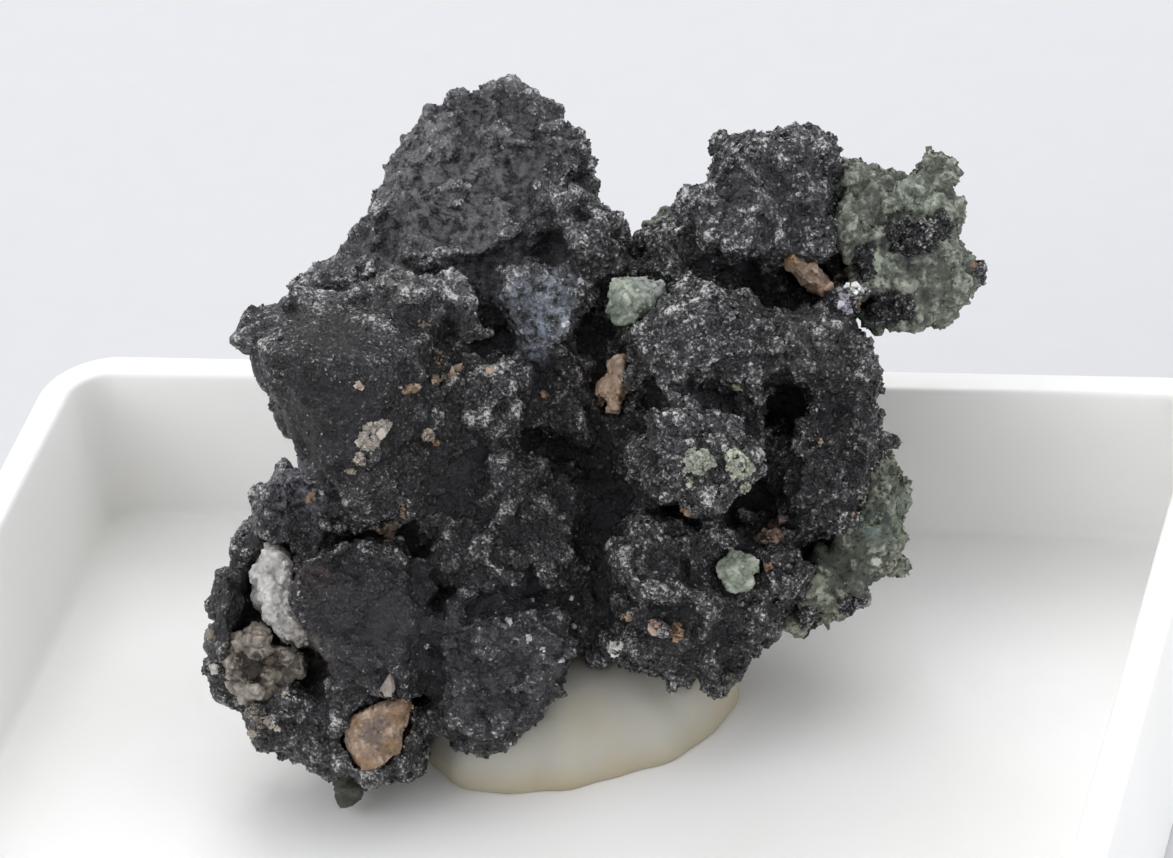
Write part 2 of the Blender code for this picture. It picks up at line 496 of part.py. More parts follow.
def tray_mesh():
    """The moulded tray: one skin of stacked rounded rings, closed under the base and over the inner floor."""
    rounding = TRAY_EDGE_ROUNDING
    wall_rise = TRAY_HEIGHT - TRAY_FLOOR
    levels = [
        # (how far the ring is drawn in from the rim's outer edge, height)
        (TRAY_DRAFT + rounding, 0.0),
        (TRAY_DRAFT, rounding),
        (0.0, TRAY_HEIGHT - rounding),
        (rounding * 0.3, TRAY_HEIGHT - rounding * 0.3),
        (rounding, TRAY_HEIGHT),
        (TRAY_WALL - rounding, TRAY_HEIGHT),
        (TRAY_WALL - rounding * 0.3, TRAY_HEIGHT - rounding * 0.3),
        (TRAY_WALL, TRAY_HEIGHT - rounding),
        (TRAY_WALL + TRAY_DRAFT * (1 - TRAY_FLOOR_FILLET / wall_rise), TRAY_FLOOR + TRAY_FLOOR_FILLET),
        (TRAY_WALL + TRAY_DRAFT + TRAY_FLOOR_FILLET * 0.3, TRAY_FLOOR + TRAY_FLOOR_FILLET * 0.3),
        (TRAY_WALL + TRAY_DRAFT + TRAY_FLOOR_FILLET, TRAY_FLOOR),
    ]
    bm = bmesh.new()
    rings = []
    for drawn_in, height in levels:
        ring = rounded_ring(TRAY_WIDTH / 2 - drawn_in, TRAY_DEPTH / 2 - drawn_in,
                            max(TRAY_CORNER_RADIUS - drawn_in, 0.4), height)
        rings.append([bm.verts.new(point) for point in ring])
    for low, high in zip(rings, rings[1:]):
        for i, vertex in enumerate(low):
            after = (i + 1) % len(low)
            bm.faces.new((vertex, low[after], high[after], high[i]))
    bm.faces.new(list(reversed(rings[0])))
    bm.faces.new(rings[-1])
    bmesh.ops.recalc_face_normals(bm, faces=bm.faces)
    mesh = bpy.data.meshes.new("tray")
    bm.to_mesh(mesh)
    bm.free()
    return mesh


def tack_mesh():
    """The blob of tack: an uneven disc on the tray's floor with a pressed, slightly domed top."""
    bottom = TRAY_FLOOR + FIT_GAP * 0.1
    levels = [(1.0, 0.0), (1.06, 0.25), (1.0, 0.55), (0.84, 0.82), (TACK_TOP_SHARE, 1.0)]
    bm = bmesh.new()
    rings = []
    for share, rise in levels:
        ring = []
        for side in range(TACK_SIDES):
            angle = 2 * math.pi * side / TACK_SIDES
            uneven = 1 + 0.07 * math.sin(2 * angle + 0.6) + 0.04 * math.sin(3 * angle + 2.0)
            reach = TACK_RADIUS * share * uneven
            ring.append(bm.verts.new((TACK_CENTRE[0] + reach * math.cos(angle),
                                      TACK_CENTRE[1] + reach * math.sin(angle),
                                      bottom + TACK_HEIGHT * rise)))
        rings.append(ring)
    for low, high in zip(rings, rings[1:]):
        for i, vertex in enumerate(low):
            after = (i + 1) % len(low)
            bm.faces.new((vertex, low[after], high[after], high[i]))
    bm.faces.new(list(reversed(rings[0])))
    bm.faces.new(rings[-1])
    bmesh.ops.triangulate(bm, faces=bm.faces)
    bmesh.ops.recalc_face_normals(bm, faces=bm.faces)
    mesh = bpy.data.meshes.new("tack")
    bm.to_mesh(mesh)
    bm.free()
    return mesh


def cutter(name, solid, gap, voxel, share):
    """A hidden helper for a Boolean: the solid grown by a gap and thinned to a share of its faces."""
    mesh = with_modifiers(
        solid,
        ("DISPLACE", {"strength": gap, "mid_level": 0.0}),
        ("REMESH", {"mode": "VOXEL", "voxel_size": voxel, "adaptivity": 0.0}),
        ("DECIMATE", {"ratio": share, "use_collapse_triangulate": True}),
    )
    keep_largest_shell(mesh)
    helper = bpy.data.objects.new(name, mesh)
    helper.hide_render = True
    helper.display_type = "WIRE"
    bpy.context.scene.collection.objects.link(helper)
    return helper


def main():
    """Clears the scene and builds every piece."""
    for old in list(bpy.data.objects):
        bpy.data.objects.remove(old)

    white_plastic = material("white_polystyrene", (0.86, 0.86, 0.84), 0.35)
    tack = material("off_white_tack", (0.72, 0.71, 0.64), 0.6)
    silver = material("tarnished_silver", (0.045, 0.045, 0.05), 0.45, 0.6)
    green = material("green_matrix", (0.17, 0.22, 0.16), 0.75)
    pale_green = material("pale_green_mineral", (0.42, 0.50, 0.38), 0.6)
    white = material("white_calcite", (0.72, 0.72, 0.69), 0.5)
    tan = material("tan_crust", (0.42, 0.36, 0.29), 0.8)
    brown = material("iron_stained_mineral", (0.40, 0.24, 0.14), 0.7)

    inclusions = (
        ("green_matrix_upper", GREEN_UPPER, green, 860, GREEN_RELIEF),
        ("green_matrix_lower", GREEN_LOWER, green, 480, GREEN_RELIEF),
        ("green_matrix_back", GREEN_BACK, green, 240, GREEN_RELIEF),
        ("pale_green_bead", GREEN_BEAD, pale_green, 150, CRYSTAL_RELIEF),
        ("pale_green_round_grain", GREEN_ROUND_GRAIN, pale_green, 110, CRYSTAL_RELIEF),
        ("white_crystal", WHITE_CRYSTAL, white, 130, CRYSTAL_RELIEF),
        ("tan_crust", TAN_CRUST, tan, 220, CRYSTAL_RELIEF),
        ("brown_crystal_left", BROWN_CRYSTAL_LEFT, brown, 110, CRYSTAL_RELIEF),
        ("brown_crystal_right", BROWN_CRYSTAL_RIGHT, brown, 90, CRYSTAL_RELIEF),
        ("tan_shard_centre", TAN_SHARD_CENTRE, brown, 80, CRYSTAL_RELIEF),
        ("dark_green_foot", DARK_GREEN_FOOT, green, 60, CRYSTAL_RELIEF),
    )
    rock = joined_rock("native_silver", SILVER, ROCK_VOXEL, SILVER_TRIANGLES, SILVER_RELIEF, 2, CALM_PLACES)
    cuts = []
    for number, (name, lumps, finish, triangles, relief) in enumerate(inclusions):
        mesh = joined_rock(name, lumps, INCLUSION_VOXEL, triangles, relief, seed=10 + number)
        socket = cutter("socket_" + name, mesh.copy(), FIT_GAP, SOCKET_VOXEL, SOCKET_SHARE)
        cuts.append(("BOOLEAN", {"operation": "DIFFERENCE", "object": socket}))
        place(name, mesh, finish, DISPLAY_TO_TRAY)
    rock = with_modifiers(rock, *cuts)
    keep_largest_shell(rock)

    seat = cutter("tack_seat", rock.copy(), SEAT_GAP, SEAT_VOXEL, SEAT_SHARE)
    seat.data.transform(DISPLAY_TO_TRAY)
    blob = with_modifiers(tack_mesh(), ("BOOLEAN", {"operation": "DIFFERENCE", "object": seat}))
    keep_largest_shell(blob)
    place("mounting_tack", blob, tack, Matrix.Identity(4))
    place("native_silver", rock, silver, DISPLAY_TO_TRAY)
    place("display_tray", tray_mesh(), white_plastic, Matrix.Identity(4))


main()
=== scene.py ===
"""Dresses a native silver specimen, tacked into a shallow white plastic tray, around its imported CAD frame.

Shapes are worked out in millimetres, in the tray's own axes (+Z up, +X to the right), and written in metres.
Points are rows of x, y, z there. Display points are rows of x to the right across the rock's display face,
y up that face and z out of it, also in millimetres.
"""

import itertools
import logging
import math
from dataclasses import dataclass
from enum import Enum

import bmesh
import bpy
import numpy as np
from mathutils import Matrix, Vector
from mathutils.bvhtree import BVHTree

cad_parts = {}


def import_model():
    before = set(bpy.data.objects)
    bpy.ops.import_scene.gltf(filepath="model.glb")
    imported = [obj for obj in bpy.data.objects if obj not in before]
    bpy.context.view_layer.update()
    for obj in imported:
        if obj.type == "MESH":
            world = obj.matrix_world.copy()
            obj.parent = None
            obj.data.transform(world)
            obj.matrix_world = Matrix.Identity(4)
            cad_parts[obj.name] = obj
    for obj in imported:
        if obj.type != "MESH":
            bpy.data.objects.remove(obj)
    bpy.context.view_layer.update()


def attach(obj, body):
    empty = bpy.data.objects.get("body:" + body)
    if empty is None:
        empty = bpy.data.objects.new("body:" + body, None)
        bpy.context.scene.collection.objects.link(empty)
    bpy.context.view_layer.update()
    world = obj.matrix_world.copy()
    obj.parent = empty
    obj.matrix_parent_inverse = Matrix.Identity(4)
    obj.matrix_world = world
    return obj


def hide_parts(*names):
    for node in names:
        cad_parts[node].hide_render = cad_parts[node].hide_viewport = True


LOG = logging.getLogger("native_silver")
MM = 0.001
BODY = "root"
BLACK_STAIN = "#2d2d2f"
Inputs = dict[int | str, object]


# ---------------------------------------------------------------- places on the rock


@dataclass(frozen=True)
class DisplayFrame:
    """The rock's own frame, which stands on its display face."""

    origin_mm: tuple[float, float, float] = (2.6, 4.35, 13.5)
    turn_deg: float = 20.0
    lean_deg: float = 55.0
    roll_deg: float = -10.5
    viewing_mm: float = 200.0

    def turn(self) -> Matrix:
        """Joins the frame's turn, lean and roll.

        Returns:
            The rotation from the display frame to the tray's axes.
        """
        return (
            Matrix.Rotation(math.radians(self.turn_deg), 3, "Z")
            @ Matrix.Rotation(math.radians(self.lean_deg), 3, "X")
            @ Matrix.Rotation(math.radians(self.roll_deg), 3, "Z")
        )

    def out(self) -> np.ndarray:
        """The way out of the display face, in the tray's axes."""
        return np.array(self.turn())[:, 2]

    def to_display(self, points: np.ndarray) -> np.ndarray:
        """Points as display points."""
        return (points - np.array(self.origin_mm)) @ np.array(self.turn())

    def to_tray(self, points: np.ndarray) -> np.ndarray:
        """Display points as points."""
        return points @ np.array(self.turn()).T + np.array(self.origin_mm)

    def eye(self) -> Vector:
        """Where the rock is looked at from."""
        return Vector(self.origin_mm) + self.turn().col[2] * self.viewing_mm


DISPLAY = DisplayFrame()


@dataclass(frozen=True)
class Place:
    """A round place on the display face, seen square on."""

    x: float
    y: float
    radius: float

    def apart(self, display: np.ndarray) -> np.ndarray:
        """How far each display point is from the middle, in radii."""
        return np.hypot(display[:, 0] - self.x, display[:, 1] - self.y) / self.radius


@dataclass(frozen=True)
class Ball:
    """A round place in depth too, in display millimetres."""

    middle: tuple[float, float, float]
    radius: float

    def apart(self, display: np.ndarray) -> np.ndarray:
        """How far each display point is from the middle, in radii."""
        return np.linalg.norm(display - np.array(self.middle), axis=1) / self.radius


# ---------------------------------------------------------------- relief

AXIS_KEYS = (0x9E3779B97F4A7C15, 0xC2B2AE3D27D4EB4F, 0x165667B19E3779F9)
MIXING_STEPS = ((30, 0xBF58476D1CE4E5B9), (27, 0x94D049BB133111EB))


def hashed(cells: np.ndarray, seed: int, count: int) -> np.ndarray:
    """Random numbers that belong to lattice cells.

    Args:
        cells: rows of whole-number cell coordinates.
        seed: picks one field of numbers.
        count: how many numbers each cell gets.

    Returns:
        One row of `count` numbers from 0 to 1 for each cell.
    """
    whole = cells.astype(np.int64).astype(np.uint64)
    mixed = np.bitwise_xor.reduce(whole * np.array(AXIS_KEYS, np.uint64), axis=1)
    mixed += np.uint64(seed * 7919 + 17)
    columns = []
    for _ in range(count):
        for shift, key in MIXING_STEPS:
            mixed = (mixed ^ (mixed >> np.uint64(shift))) * np.uint64(key)
        mixed = mixed ^ (mixed >> np.uint64(31))
        columns.append((mixed >> np.uint64(11)).astype(np.float64) / float(1 << 53))
    return np.stack(columns, axis=1)


def smooth_noise(points: np.ndarray, size: float, seed: int) -> np.ndarray:
    """Gradient noise, from about -1 to 1, with lumps `size` millimetres apart.

    Args:
        points: the points.
        size: the lattice spacing in millimetres.
        seed: picks one noise field.

    Returns:
        One value for each point.
    """
    scaled = points / size
    base = np.floor(scaled)
    part = scaled - base
    ease = part * part * part * (part * (part * 6 - 15) + 10)
    total = np.zeros(len(points))
    for corner in map(np.array, itertools.product((0, 1), repeat=3)):
        slope = hashed(base + corner, seed, 3) * 2 - 1
        weight = np.prod(np.where(corner == 1, ease, 1 - ease), axis=1)
        total += weight * (slope * (part - corner)).sum(axis=1)
    to_full_range = 1.7
    return total * to_full_range


def grain_cells(points: np.ndarray, size: float, seed: int) -> tuple[np.ndarray, np.ndarray, np.ndarray]:
    """Splits space into crystal grains, one round each scattered point.

    Args:
        points: the points.
        size: the grains' mean width in millimetres.
        seed: picks one set of grains.

    Returns:
        For each point: the way to its grain's middle in grain widths, four random numbers of that grain,
        and how far it is inside its grain's border, in grain widths.
    """
    scaled = points / size
    base = np.floor(scaled)
    nearest, second = np.full((2, len(points)), np.inf)
    away = np.zeros_like(scaled)
    traits = np.zeros((len(points), 4))
    for step in itertools.product((-1, 0, 1), repeat=3):
        cell = base + np.array(step)
        random = hashed(cell, seed, 7)
        offset = scaled - (cell + random[:, :3])
        distance = np.linalg.norm(offset, axis=1)
        closer = distance < nearest
        second = np.where(closer, nearest, np.minimum(second, distance))
        nearest = np.where(closer, distance, nearest)
        away[closer] = offset[closer]
        traits[closer] = random[closer, 3:]
    return away, traits, second - nearest


class ReliefKind(Enum):
    """Ways that a rock's surface stands in and out."""

    LUMPS = "rounded lumps with creases between them"
    GRAINS = "round-topped grains, some higher than others, with creases between them"
    FACETS = "flat grain faces, each with its own slant, and steps between them"


@dataclass(frozen=True)
class Relief:
    """One layer of relief: its kind, the width of its features and how high they stand."""

    kind: ReliefKind
    size_mm: float
    height_mm: float
    seed: int

    def heights(self, points: np.ndarray) -> np.ndarray:
        """How far each point stands out.

        Args:
            points: the points.

        Returns:
            One height for each point, in millimetres.
        """
        if self.kind is ReliefKind.LUMPS:
            swing, middle = 2.2, 0.55
            return self.height_mm * (swing * np.abs(smooth_noise(points, self.size_mm, self.seed)) - middle)
        away, traits, border = grain_cells(points, self.size_mm, self.seed)
        step = traits[:, 3] - 0.5
        if self.kind is ReliefKind.GRAINS:
            dome_width, dome_middle, step_height = 0.5, 0.6, 0.7
            dome = np.sqrt(np.clip(border / dome_width, 0, 1))
            return self.height_mm * (dome - dome_middle + step_height * step)
        crease_width, crease_depth, step_height = 0.18, 0.45, 0.8
        slant = traits[:, :3] * 2 - 1
        slant /= np.linalg.norm(slant, axis=1)[:, None] + 1e-9
        crease = np.clip(border / crease_width, 0, 1) - 1
        return self.height_mm * ((slant * away).sum(axis=1) + step_height * step + crease_depth * crease)


@dataclass(frozen=True)
class Beds(Ball):
    """Thin broken ledges that lie one over the other and fade out at the place's radius.

    `across` is the display direction over the ledges.
    """

    across: tuple[float, float]
    spacing_mm: float
    height_mm: float
    seed: int

    def heights(self, points: np.ndarray) -> np.ndarray:
        """How far each point stands out.

        Args:
            points: the points.

        Returns:
            One height for each point, in millimetres.
        """
        waver, rising, breaks = 0.35, 0.75, 0.9
        display = DISPLAY.to_display(points)
        along = display[:, :2] @ np.array(self.across) + waver * smooth_noise(points, 1.6, self.seed)
        step = along / self.spacing_mm % 1.0
        step = np.where(step < rising, step / rising, (1 - step) / (1 - rising))
        broken = 0.5 + breaks * smooth_noise(points, self.spacing_mm * 2.4, self.seed + 1)
        fading = np.clip(2.0 - 2 * self.apart(display), 0, 1)
        return self.height_mm * (step - 0.5) * np.clip(broken, 0, 1) * fading


@dataclass(frozen=True)
class Pull(Place):
    """A place where the surface is drawn along the display face, by `draw` in display millimetres."""

    draw: tuple[float, float]

    def moves(self, points: np.ndarray) -> np.ndarray:
        """How far each point moves, as rows of x, y, z."""
        share = np.exp(-1.5 * self.apart(DISPLAY.to_display(points)) ** 2)[:, None]
        return share * (np.array([(*self.draw, 0.0)]) @ np.array(DISPLAY.turn()).T)


@dataclass(frozen=True)
class Fill:
    """A partly filled hollow: its middle, its two radii and the depth that its bottom is raised towards."""

    x: float
    y: float
    radii: tuple[float, float]
    depth: float
    share: float = 0.65
    deepest_mm: float = 3.4
    fade_mm: float = 0.8

    def moves(self, points: np.ndarray) -> np.ndarray:
        """How far each point moves.

        Args:
            points: the points.

        Returns:
            Rows of x, y, z.
        """
        display = DISPLAY.to_display(points)
        apart = np.hypot((display[:, 0] - self.x) / self.radii[0], (display[:, 1] - self.y) / self.radii[1])
        below = np.clip(self.depth - display[:, 2], 0, None)
        fading = np.clip((self.deepest_mm - below) / self.fade_mm, 0, 1)
        return (self.share * below * fading * np.exp(-1.5 * apart ** 4))[:, None] * DISPLAY.out()


@dataclass(frozen=True)
class CalmPlace(Ball):
    """A flatter, smoother face, with `share` of the relief left there."""

    share: float

    def left(self, display: np.ndarray) -> np.ndarray:
        """The share of the relief that is left at each display point."""
        return self.share + (1 - self.share) * np.clip(2 * self.apart(display) - 1, 0, 1)


# ---------------------------------------------------------------- meshes as arrays


def values_of(items: bpy.types.bpy_prop_collection, name: str, width: int = 1,
              kind: type = np.float32) -> np.ndarray:
    """One property of each of a mesh's vertices, edges, loops or faces.

    Args:
        items: those vertices, edges, loops or faces.
        name: the property's name.
        width: how many numbers it has.
        kind: the numbers' type.

    Returns:
        One number, or one row of them, for each item.
    """
    flat = np.zeros(len(items) * width, kind)
    items.foreach_get(name, flat)
    return flat if width == 1 else flat.reshape(-1, width)


def points_of(mesh: bpy.types.Mesh) -> np.ndarray:
    """The mesh's vertices as points."""
    return values_of(mesh.vertices, "co", 3).astype(np.float64) / MM


def normals_of(mesh: bpy.types.Mesh) -> np.ndarray:
    """The mesh's vertex normals, one row each."""
    return values_of(mesh.vertex_normals, "vector", 3).astype(np.float64)


def move_points(mesh: bpy.types.Mesh, points: np.ndarray) -> None:
    """Puts the mesh's vertices at these points."""
    mesh.vertices.foreach_set("co", (points * MM).astype(np.float32).ravel())
    mesh.update()


def paint(mesh: bpy.types.Mesh, name: str, values: np.ndarray) -> None:
    """Stores a number or a colour with alpha for each vertex, for the materials to read.

    Args:
        mesh: the mesh that gets the values.
        name: the attribute's name.
        values: one number, or one row of four, for each vertex.
    """
    kind, field = ("FLOAT", "value") if values.ndim == 1 else ("FLOAT_COLOR", "color")
    layer = mesh.attributes.new(name, kind, "POINT")
    layer.data.foreach_set(field, values.astype(np.float32).ravel())


def triangle_mesh(name: str, points: np.ndarray, triangles: np.ndarray) -> bpy.types.Mesh:
    """A mesh of triangles.

    Args:
        name: the mesh's name.
        points: its vertices.
        triangles: rows of three vertex numbers.

    Returns:
        The new mesh, in metres.
    """
    mesh = bpy.data.meshes.new(name)
    mesh.vertices.add(len(points))
    mesh.loops.add(triangles.size)
    mesh.loops.foreach_set("vertex_index", triangles.astype(np.int32).ravel())
    mesh.polygons.add(len(triangles))
    mesh.polygons.foreach_set("loop_start", np.arange(0, triangles.size, 3, dtype=np.int32))
    move_points(mesh, points)
    mesh.update(calc_edges=True)
    mesh.validate()
    return mesh


def ring_mesh(name: str, rings: list[np.ndarray]) -> bpy.types.Mesh:
    """A closed skin over a stack of rings that have the same number of points.

    Args:
        name: the mesh's name.
        rings: the rings in order, each as points, the first and last capped.

    Returns:
        The new mesh, in metres, with its faces pointing out.
    """
    bm = bmesh.new()
    made = [[bm.verts.new(Vector(point) * MM) for point in ring] for ring in rings]
    for low, high in zip(made, made[1:]):
        for i, vertex in enumerate(low):
            after = (i + 1) % len(low)
            bm.faces.new((vertex, low[after], high[after], high[i]))
    bm.faces.new(list(reversed(made[0])))
    bm.faces.new(made[-1])
    bmesh.ops.recalc_face_normals(bm, faces=bm.faces)
    mesh = bpy.data.meshes.new(name)
    bm.to_mesh(mesh)
    bm.free()
    return mesh


def link(name: str, data: bpy.types.ID) -> bpy.types.Object:
    """Links a mesh, light or camera to the scene as a new object.

    Args:
        name: the object's name.
        data: the mesh, light or camera.

    Returns:
        The new object.
    """
    made = bpy.data.objects.new(name, data)
    bpy.context.scene.collection.objects.link(made)
    return made


def modified(helper: bpy.types.Object, kind: str, settings: dict[str, object]) -> bpy.types.Mesh:
    """An object's mesh after one modifier. The object is removed.

    Args:
        helper: the object.
        kind: the modifier's type.
        settings: the modifier's properties.

    Returns:
        The new mesh.
    """
    modifier = helper.modifiers.new("change", kind)
    for key, value in settings.items():
        setattr(modifier, key, value)
    mesh = bpy.data.meshes.new_from_object(helper.evaluated_get(bpy.context.evaluated_depsgraph_get()))
    bpy.data.objects.remove(helper)
    return mesh


@dataclass(frozen=True)
class Coat:
    """A finish as Blender has it, with the record's material slot that it belongs to."""

    material: bpy.types.Material
    slot: str


def show(name: str, mesh: bpy.types.Mesh, material: bpy.types.Material, smooth: bool) -> bpy.types.Object:
    """Links a mesh as a named object with one material.

    Args:
        name: the object's name.
        mesh: its mesh, in metres.
        material: its finish.
        smooth: True for smooth shading, False for flat facets.

    Returns:
        The new object.
    """
    mesh.materials.clear()
    mesh.materials.append(material)
    mesh.polygons.foreach_set("use_smooth", np.full(len(mesh.polygons), smooth))
    return link(name, mesh)


def place_piece(name: str, mesh: bpy.types.Mesh, coat: Coat, smooth: bool = True, node: str = "") -> None:
    """Shows a mesh as a piece that rides on the one body.

    Args:
        name: the piece's name.
        mesh: its mesh, in metres.
        coat: its finish.
        smooth: True for smooth shading, False for flat facets.
        node: the CAD node that it replaces, if it replaces one.
    """
    made = show(name, mesh, coat.material, smooth)
    if node:
        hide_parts(node)
    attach(made, BODY)
    LOG.info("%s: %d faces", name, len(mesh.polygons))


# ---------------------------------------------------------------- finishes


def linear(colour: str, alpha: float = 1.0) -> tuple[float, float, float, float]:
    """An sRGB hex colour as the linear colour that Blender's sockets take.

    Args:
        colour: six hex digits after a #.
        alpha: the fourth value.

    Returns:
        Red, green, blue and alpha.
    """
    shares = [int(colour[i:i + 2], 16) / 255 for i in (1, 3, 5)]
    red, green, blue = (s / 12.92 if s <= 0.04045 else ((s + 0.055) / 1.055) ** 2.4 for s in shares)
    return red, green, blue, alpha


class Nodes:
    """The node tree of a material or of the world."""

    def __init__(self, owner: bpy.types.Material | bpy.types.World) -> None:
        """Turns the owner's nodes on."""
        self.owner = owner
        owner.use_nodes = True

    def add(self, kind: str, inputs: Inputs, output: int | str = 0,
            **settings: object) -> bpy.types.NodeSocket:
        """Adds one node with its settings and links.

        Args:
            kind: the node's Blender type, after "ShaderNode".
            inputs: a value or another node's output for each named or numbered input.
            output: the name or number of the output that is wanted.
            settings: the node's own properties.

        Returns:
            That output.
        """
        made = self.owner.node_tree.nodes.new("ShaderNode" + kind)
        for key, value in settings.items():
            setattr(made, key, value)
        self.join(made, inputs)
        return made.outputs[output]

    def join(self, node: bpy.types.Node, inputs: Inputs) -> None:
        """Sets or links some inputs of a node.

        Args:
            node: the node.
            inputs: a value or another node's output for each named or numbered input.
        """
        for key, value in inputs.items():
            if isinstance(value, bpy.types.NodeSocket):
                self.owner.node_tree.links.new(value, node.inputs[key])
            else:
                node.inputs[key].default_value = value


class Surface(Nodes):
    """The nodes of one new material, which start from the place on the object in millimetres."""

    def __init__(self, name: str) -> None:
        """Starts a material with only a Principled shader.

        Args:
            name: the material's name.
        """
        super().__init__(bpy.data.materials.new(name))
        self.place = self.add("VectorMath", {0: self.add("TexCoord", {}, "Object"), "Scale": 1 / MM},
                              operation="SCALE")

    def blotches(self, size_mm: float, detail: float, low: float, high: float) -> bpy.types.NodeSocket:
        """Uneven blotches of a real size.

        Args:
            size_mm: their width.
            detail: how many finer octaves break them up.
            low: the noise value that becomes 0.
            high: the noise value that becomes 1.

        Returns:
            The output that holds them, from 0 to 1.
        """
        noise = self.add("TexNoise", {"Vector": self.place, "Scale": 1 / size_mm, "Detail": detail,
                                      "Roughness": 0.6}, "Fac")
        return self.add("MapRange", {"Value": noise, "From Min": low, "From Max": high})

    def finish(self, inputs: Inputs) -> bpy.types.Material:
        """The material, with a value or another node's output for each named input of its shader."""
        self.join(self.owner.node_tree.nodes["Principled BSDF"], inputs)
        return self.owner


@dataclass(frozen=True)
class TarnishedSilver:
    """Native silver under a black sulphide tarnish, grown as a crust of very small crystals.

    The tarnish is a dark metallic skin, so a surface that faces the light has a grey sheen and all others
    stay black. More grey is painted into the colour: on crests as wear, and on faces that look up as painted
    light from above. Fine bright flecks, mostly on crests and on faces that look up, are painted glints, and
    where few crystals lie, mostly in hollows, a lighter tarnish is painted in as light that lifts the shade.
    """

    name: str = "tarnished native silver"
    slot: str = "tarnished_silver"
    tarnish: str = "#2f2e30"
    # a lighter tarnish painted into hollows: painted light that lifts their shade
    painted_hollow_light: str = "#4f4e52"
    # grey painted in as wear on crests and as painted light on faces that look up
    worn: str = "#6a6a6b"
    # colour of the painted glints
    bright: str = "#dcdbda"
    grain_mm: float = 0.12
    fleck_mm: float = 0.09
    lump_mm: float = 0.24
    # size of the blotches that break up the crests' wear and the painted light on faces that look up
    wear_and_light_mm: float = 0.7
    # how much lighter faces that look up are painted: painted light from above
    upward_painted_light: float = 0.55
    # share of the crests' wear and the painted top light in the height
    wear_and_light_share: float = 0.13
    grain_share: float = 0.13
    # heights over which the painted glints come in
    painted_glint_levels: tuple[float, float] = (0.66, 0.84)
    sheen_levels: tuple[float, float] = (0.46, 0.72)
    roughness: tuple[float, float] = (0.24, 0.46)
    metallic: float = 0.8

    def coat(self) -> Coat:
        """Builds the finish from each vertex's crest, cover and stain.

        Returns:
            The coat, which is the material and its slot.
        """
        s = Surface(self.name)
        crest = s.add("Attribute", {}, "Fac", attribute_name="crest")
        cover = s.add("Attribute", {}, "Fac", attribute_name="cover")
        stain_and_painted_light = s.add("Attribute", {}, "Color", attribute_name="stain_and_painted_light")
        # Faces that look up are painted lighter, as painted light from above; crests are lighter as wear.
        up = s.add("SeparateXYZ", {0: s.add("NewGeometry", {}, "Normal")}, 2)
        painted_top_light = s.add("MapRange", {"Value": up, "From Min": 0.0, "From Max": 1.0,
                                       "To Max": self.upward_painted_light})
        wear_and_top_light = s.add("Math", {0: crest, 1: painted_top_light}, operation="ADD")
        bared_and_top_lit = s.add("Math", {0: wear_and_top_light, 1: cover}, operation="MULTIPLY")
        chance = s.add("Math", {0: bared_and_top_lit, 1: s.blotches(self.wear_and_light_mm, 2.0, 0.30, 0.62)}, operation="MULTIPLY")
        fine = s.add("TexNoise", {"Vector": s.place, "Scale": 1 / self.fleck_mm, "Detail": 4.0,
                                  "Roughness": 0.65, "Distortion": 0.3}, "Fac")
        mottled = s.add("MapRange", {"Value": cover, "From Max": 0.8, "To Min": 0.35, "To Max": 1.0})
        grain = self.grains(s, mottled)
        clumped = s.add("Math", {0: grain, 1: self.grain_share, 2: fine}, operation="MULTIPLY_ADD")
        coated = s.add("MapRange", {"Value": cover, "From Max": 1.0, "To Min": -0.06, "To Max": 0.015})
        bare = s.add("Math", {0: clumped, 1: coated}, operation="ADD")
        height = s.add("Math", {0: chance, 1: self.wear_and_light_share, 2: bare}, operation="MULTIPLY_ADD")
        # Painted glints: bright flecks where the height is greatest. Below them a band of painted sheen in
        # the worn grey.
        painted_glint, sheen = (s.add("MapRange", {"Value": height, "From Min": low, "From Max": high})
                        for low, high in (self.painted_glint_levels, self.sheen_levels))
        shade = s.add("Math", {0: sheen, 1: mottled}, operation="MULTIPLY")
        # Painted light in hollows: where few crystals lie, mostly in hollows, the tarnish is mixed towards a
        # lighter grey to lift the shade there.
        hollow = s.add("MapRange", {"Value": cover, "From Max": 0.35, "To Min": 0.8, "To Max": 0.0})
        tarnish = s.add("Mix", {0: hollow, 6: linear(self.tarnish), 7: linear(self.painted_hollow_light)}, 2,
                        data_type="RGBA")
        # worn grey: wear on crests, and painted sheen from light above on faces that look up
        worn = s.add("Mix", {0: shade, 6: tarnish, 7: linear(self.worn)}, 2, data_type="RGBA")
        # The places' tints: the rock's own stains, and painted light and shade at the peak, the wedge's front
        # and the right block.
        tint = s.add("Math", {0: stain_and_painted_light.node.outputs["Alpha"], 1: s.blotches(0.32, 5.0, 0.40, 0.58)},
                     operation="MULTIPLY")
        body = s.add("Mix", {0: tint, 6: worn, 7: stain_and_painted_light}, 2, data_type="RGBA")
        grit = s.add("TexNoise", {"Vector": s.place, "Scale": 1 / self.grain_mm, "Detail": 4.0,
                                  "Roughness": 0.65}, "Fac")
        lumps = s.add("Bump", {"Height": grain, "Strength": 1.0, "Distance": self.lump_mm * 0.30 * MM})
        return Coat(s.finish({
            # painted glints in the bright colour over the body
            "Base Color": s.add("Mix", {0: painted_glint, 6: body, 7: linear(self.bright)}, 2, data_type="RGBA"),
            "Roughness": s.add("MapRange", {"Value": s.blotches(0.5, 3.0, 0.35, 0.65),
                                            "To Min": self.roughness[0], "To Max": self.roughness[1]}),
            "Normal": s.add("Bump", {"Height": grit, "Strength": 1.0, "Distance": self.grain_mm * MM,
                                     "Normal": lumps}),
            "Metallic": self.metallic,
        }), self.slot)

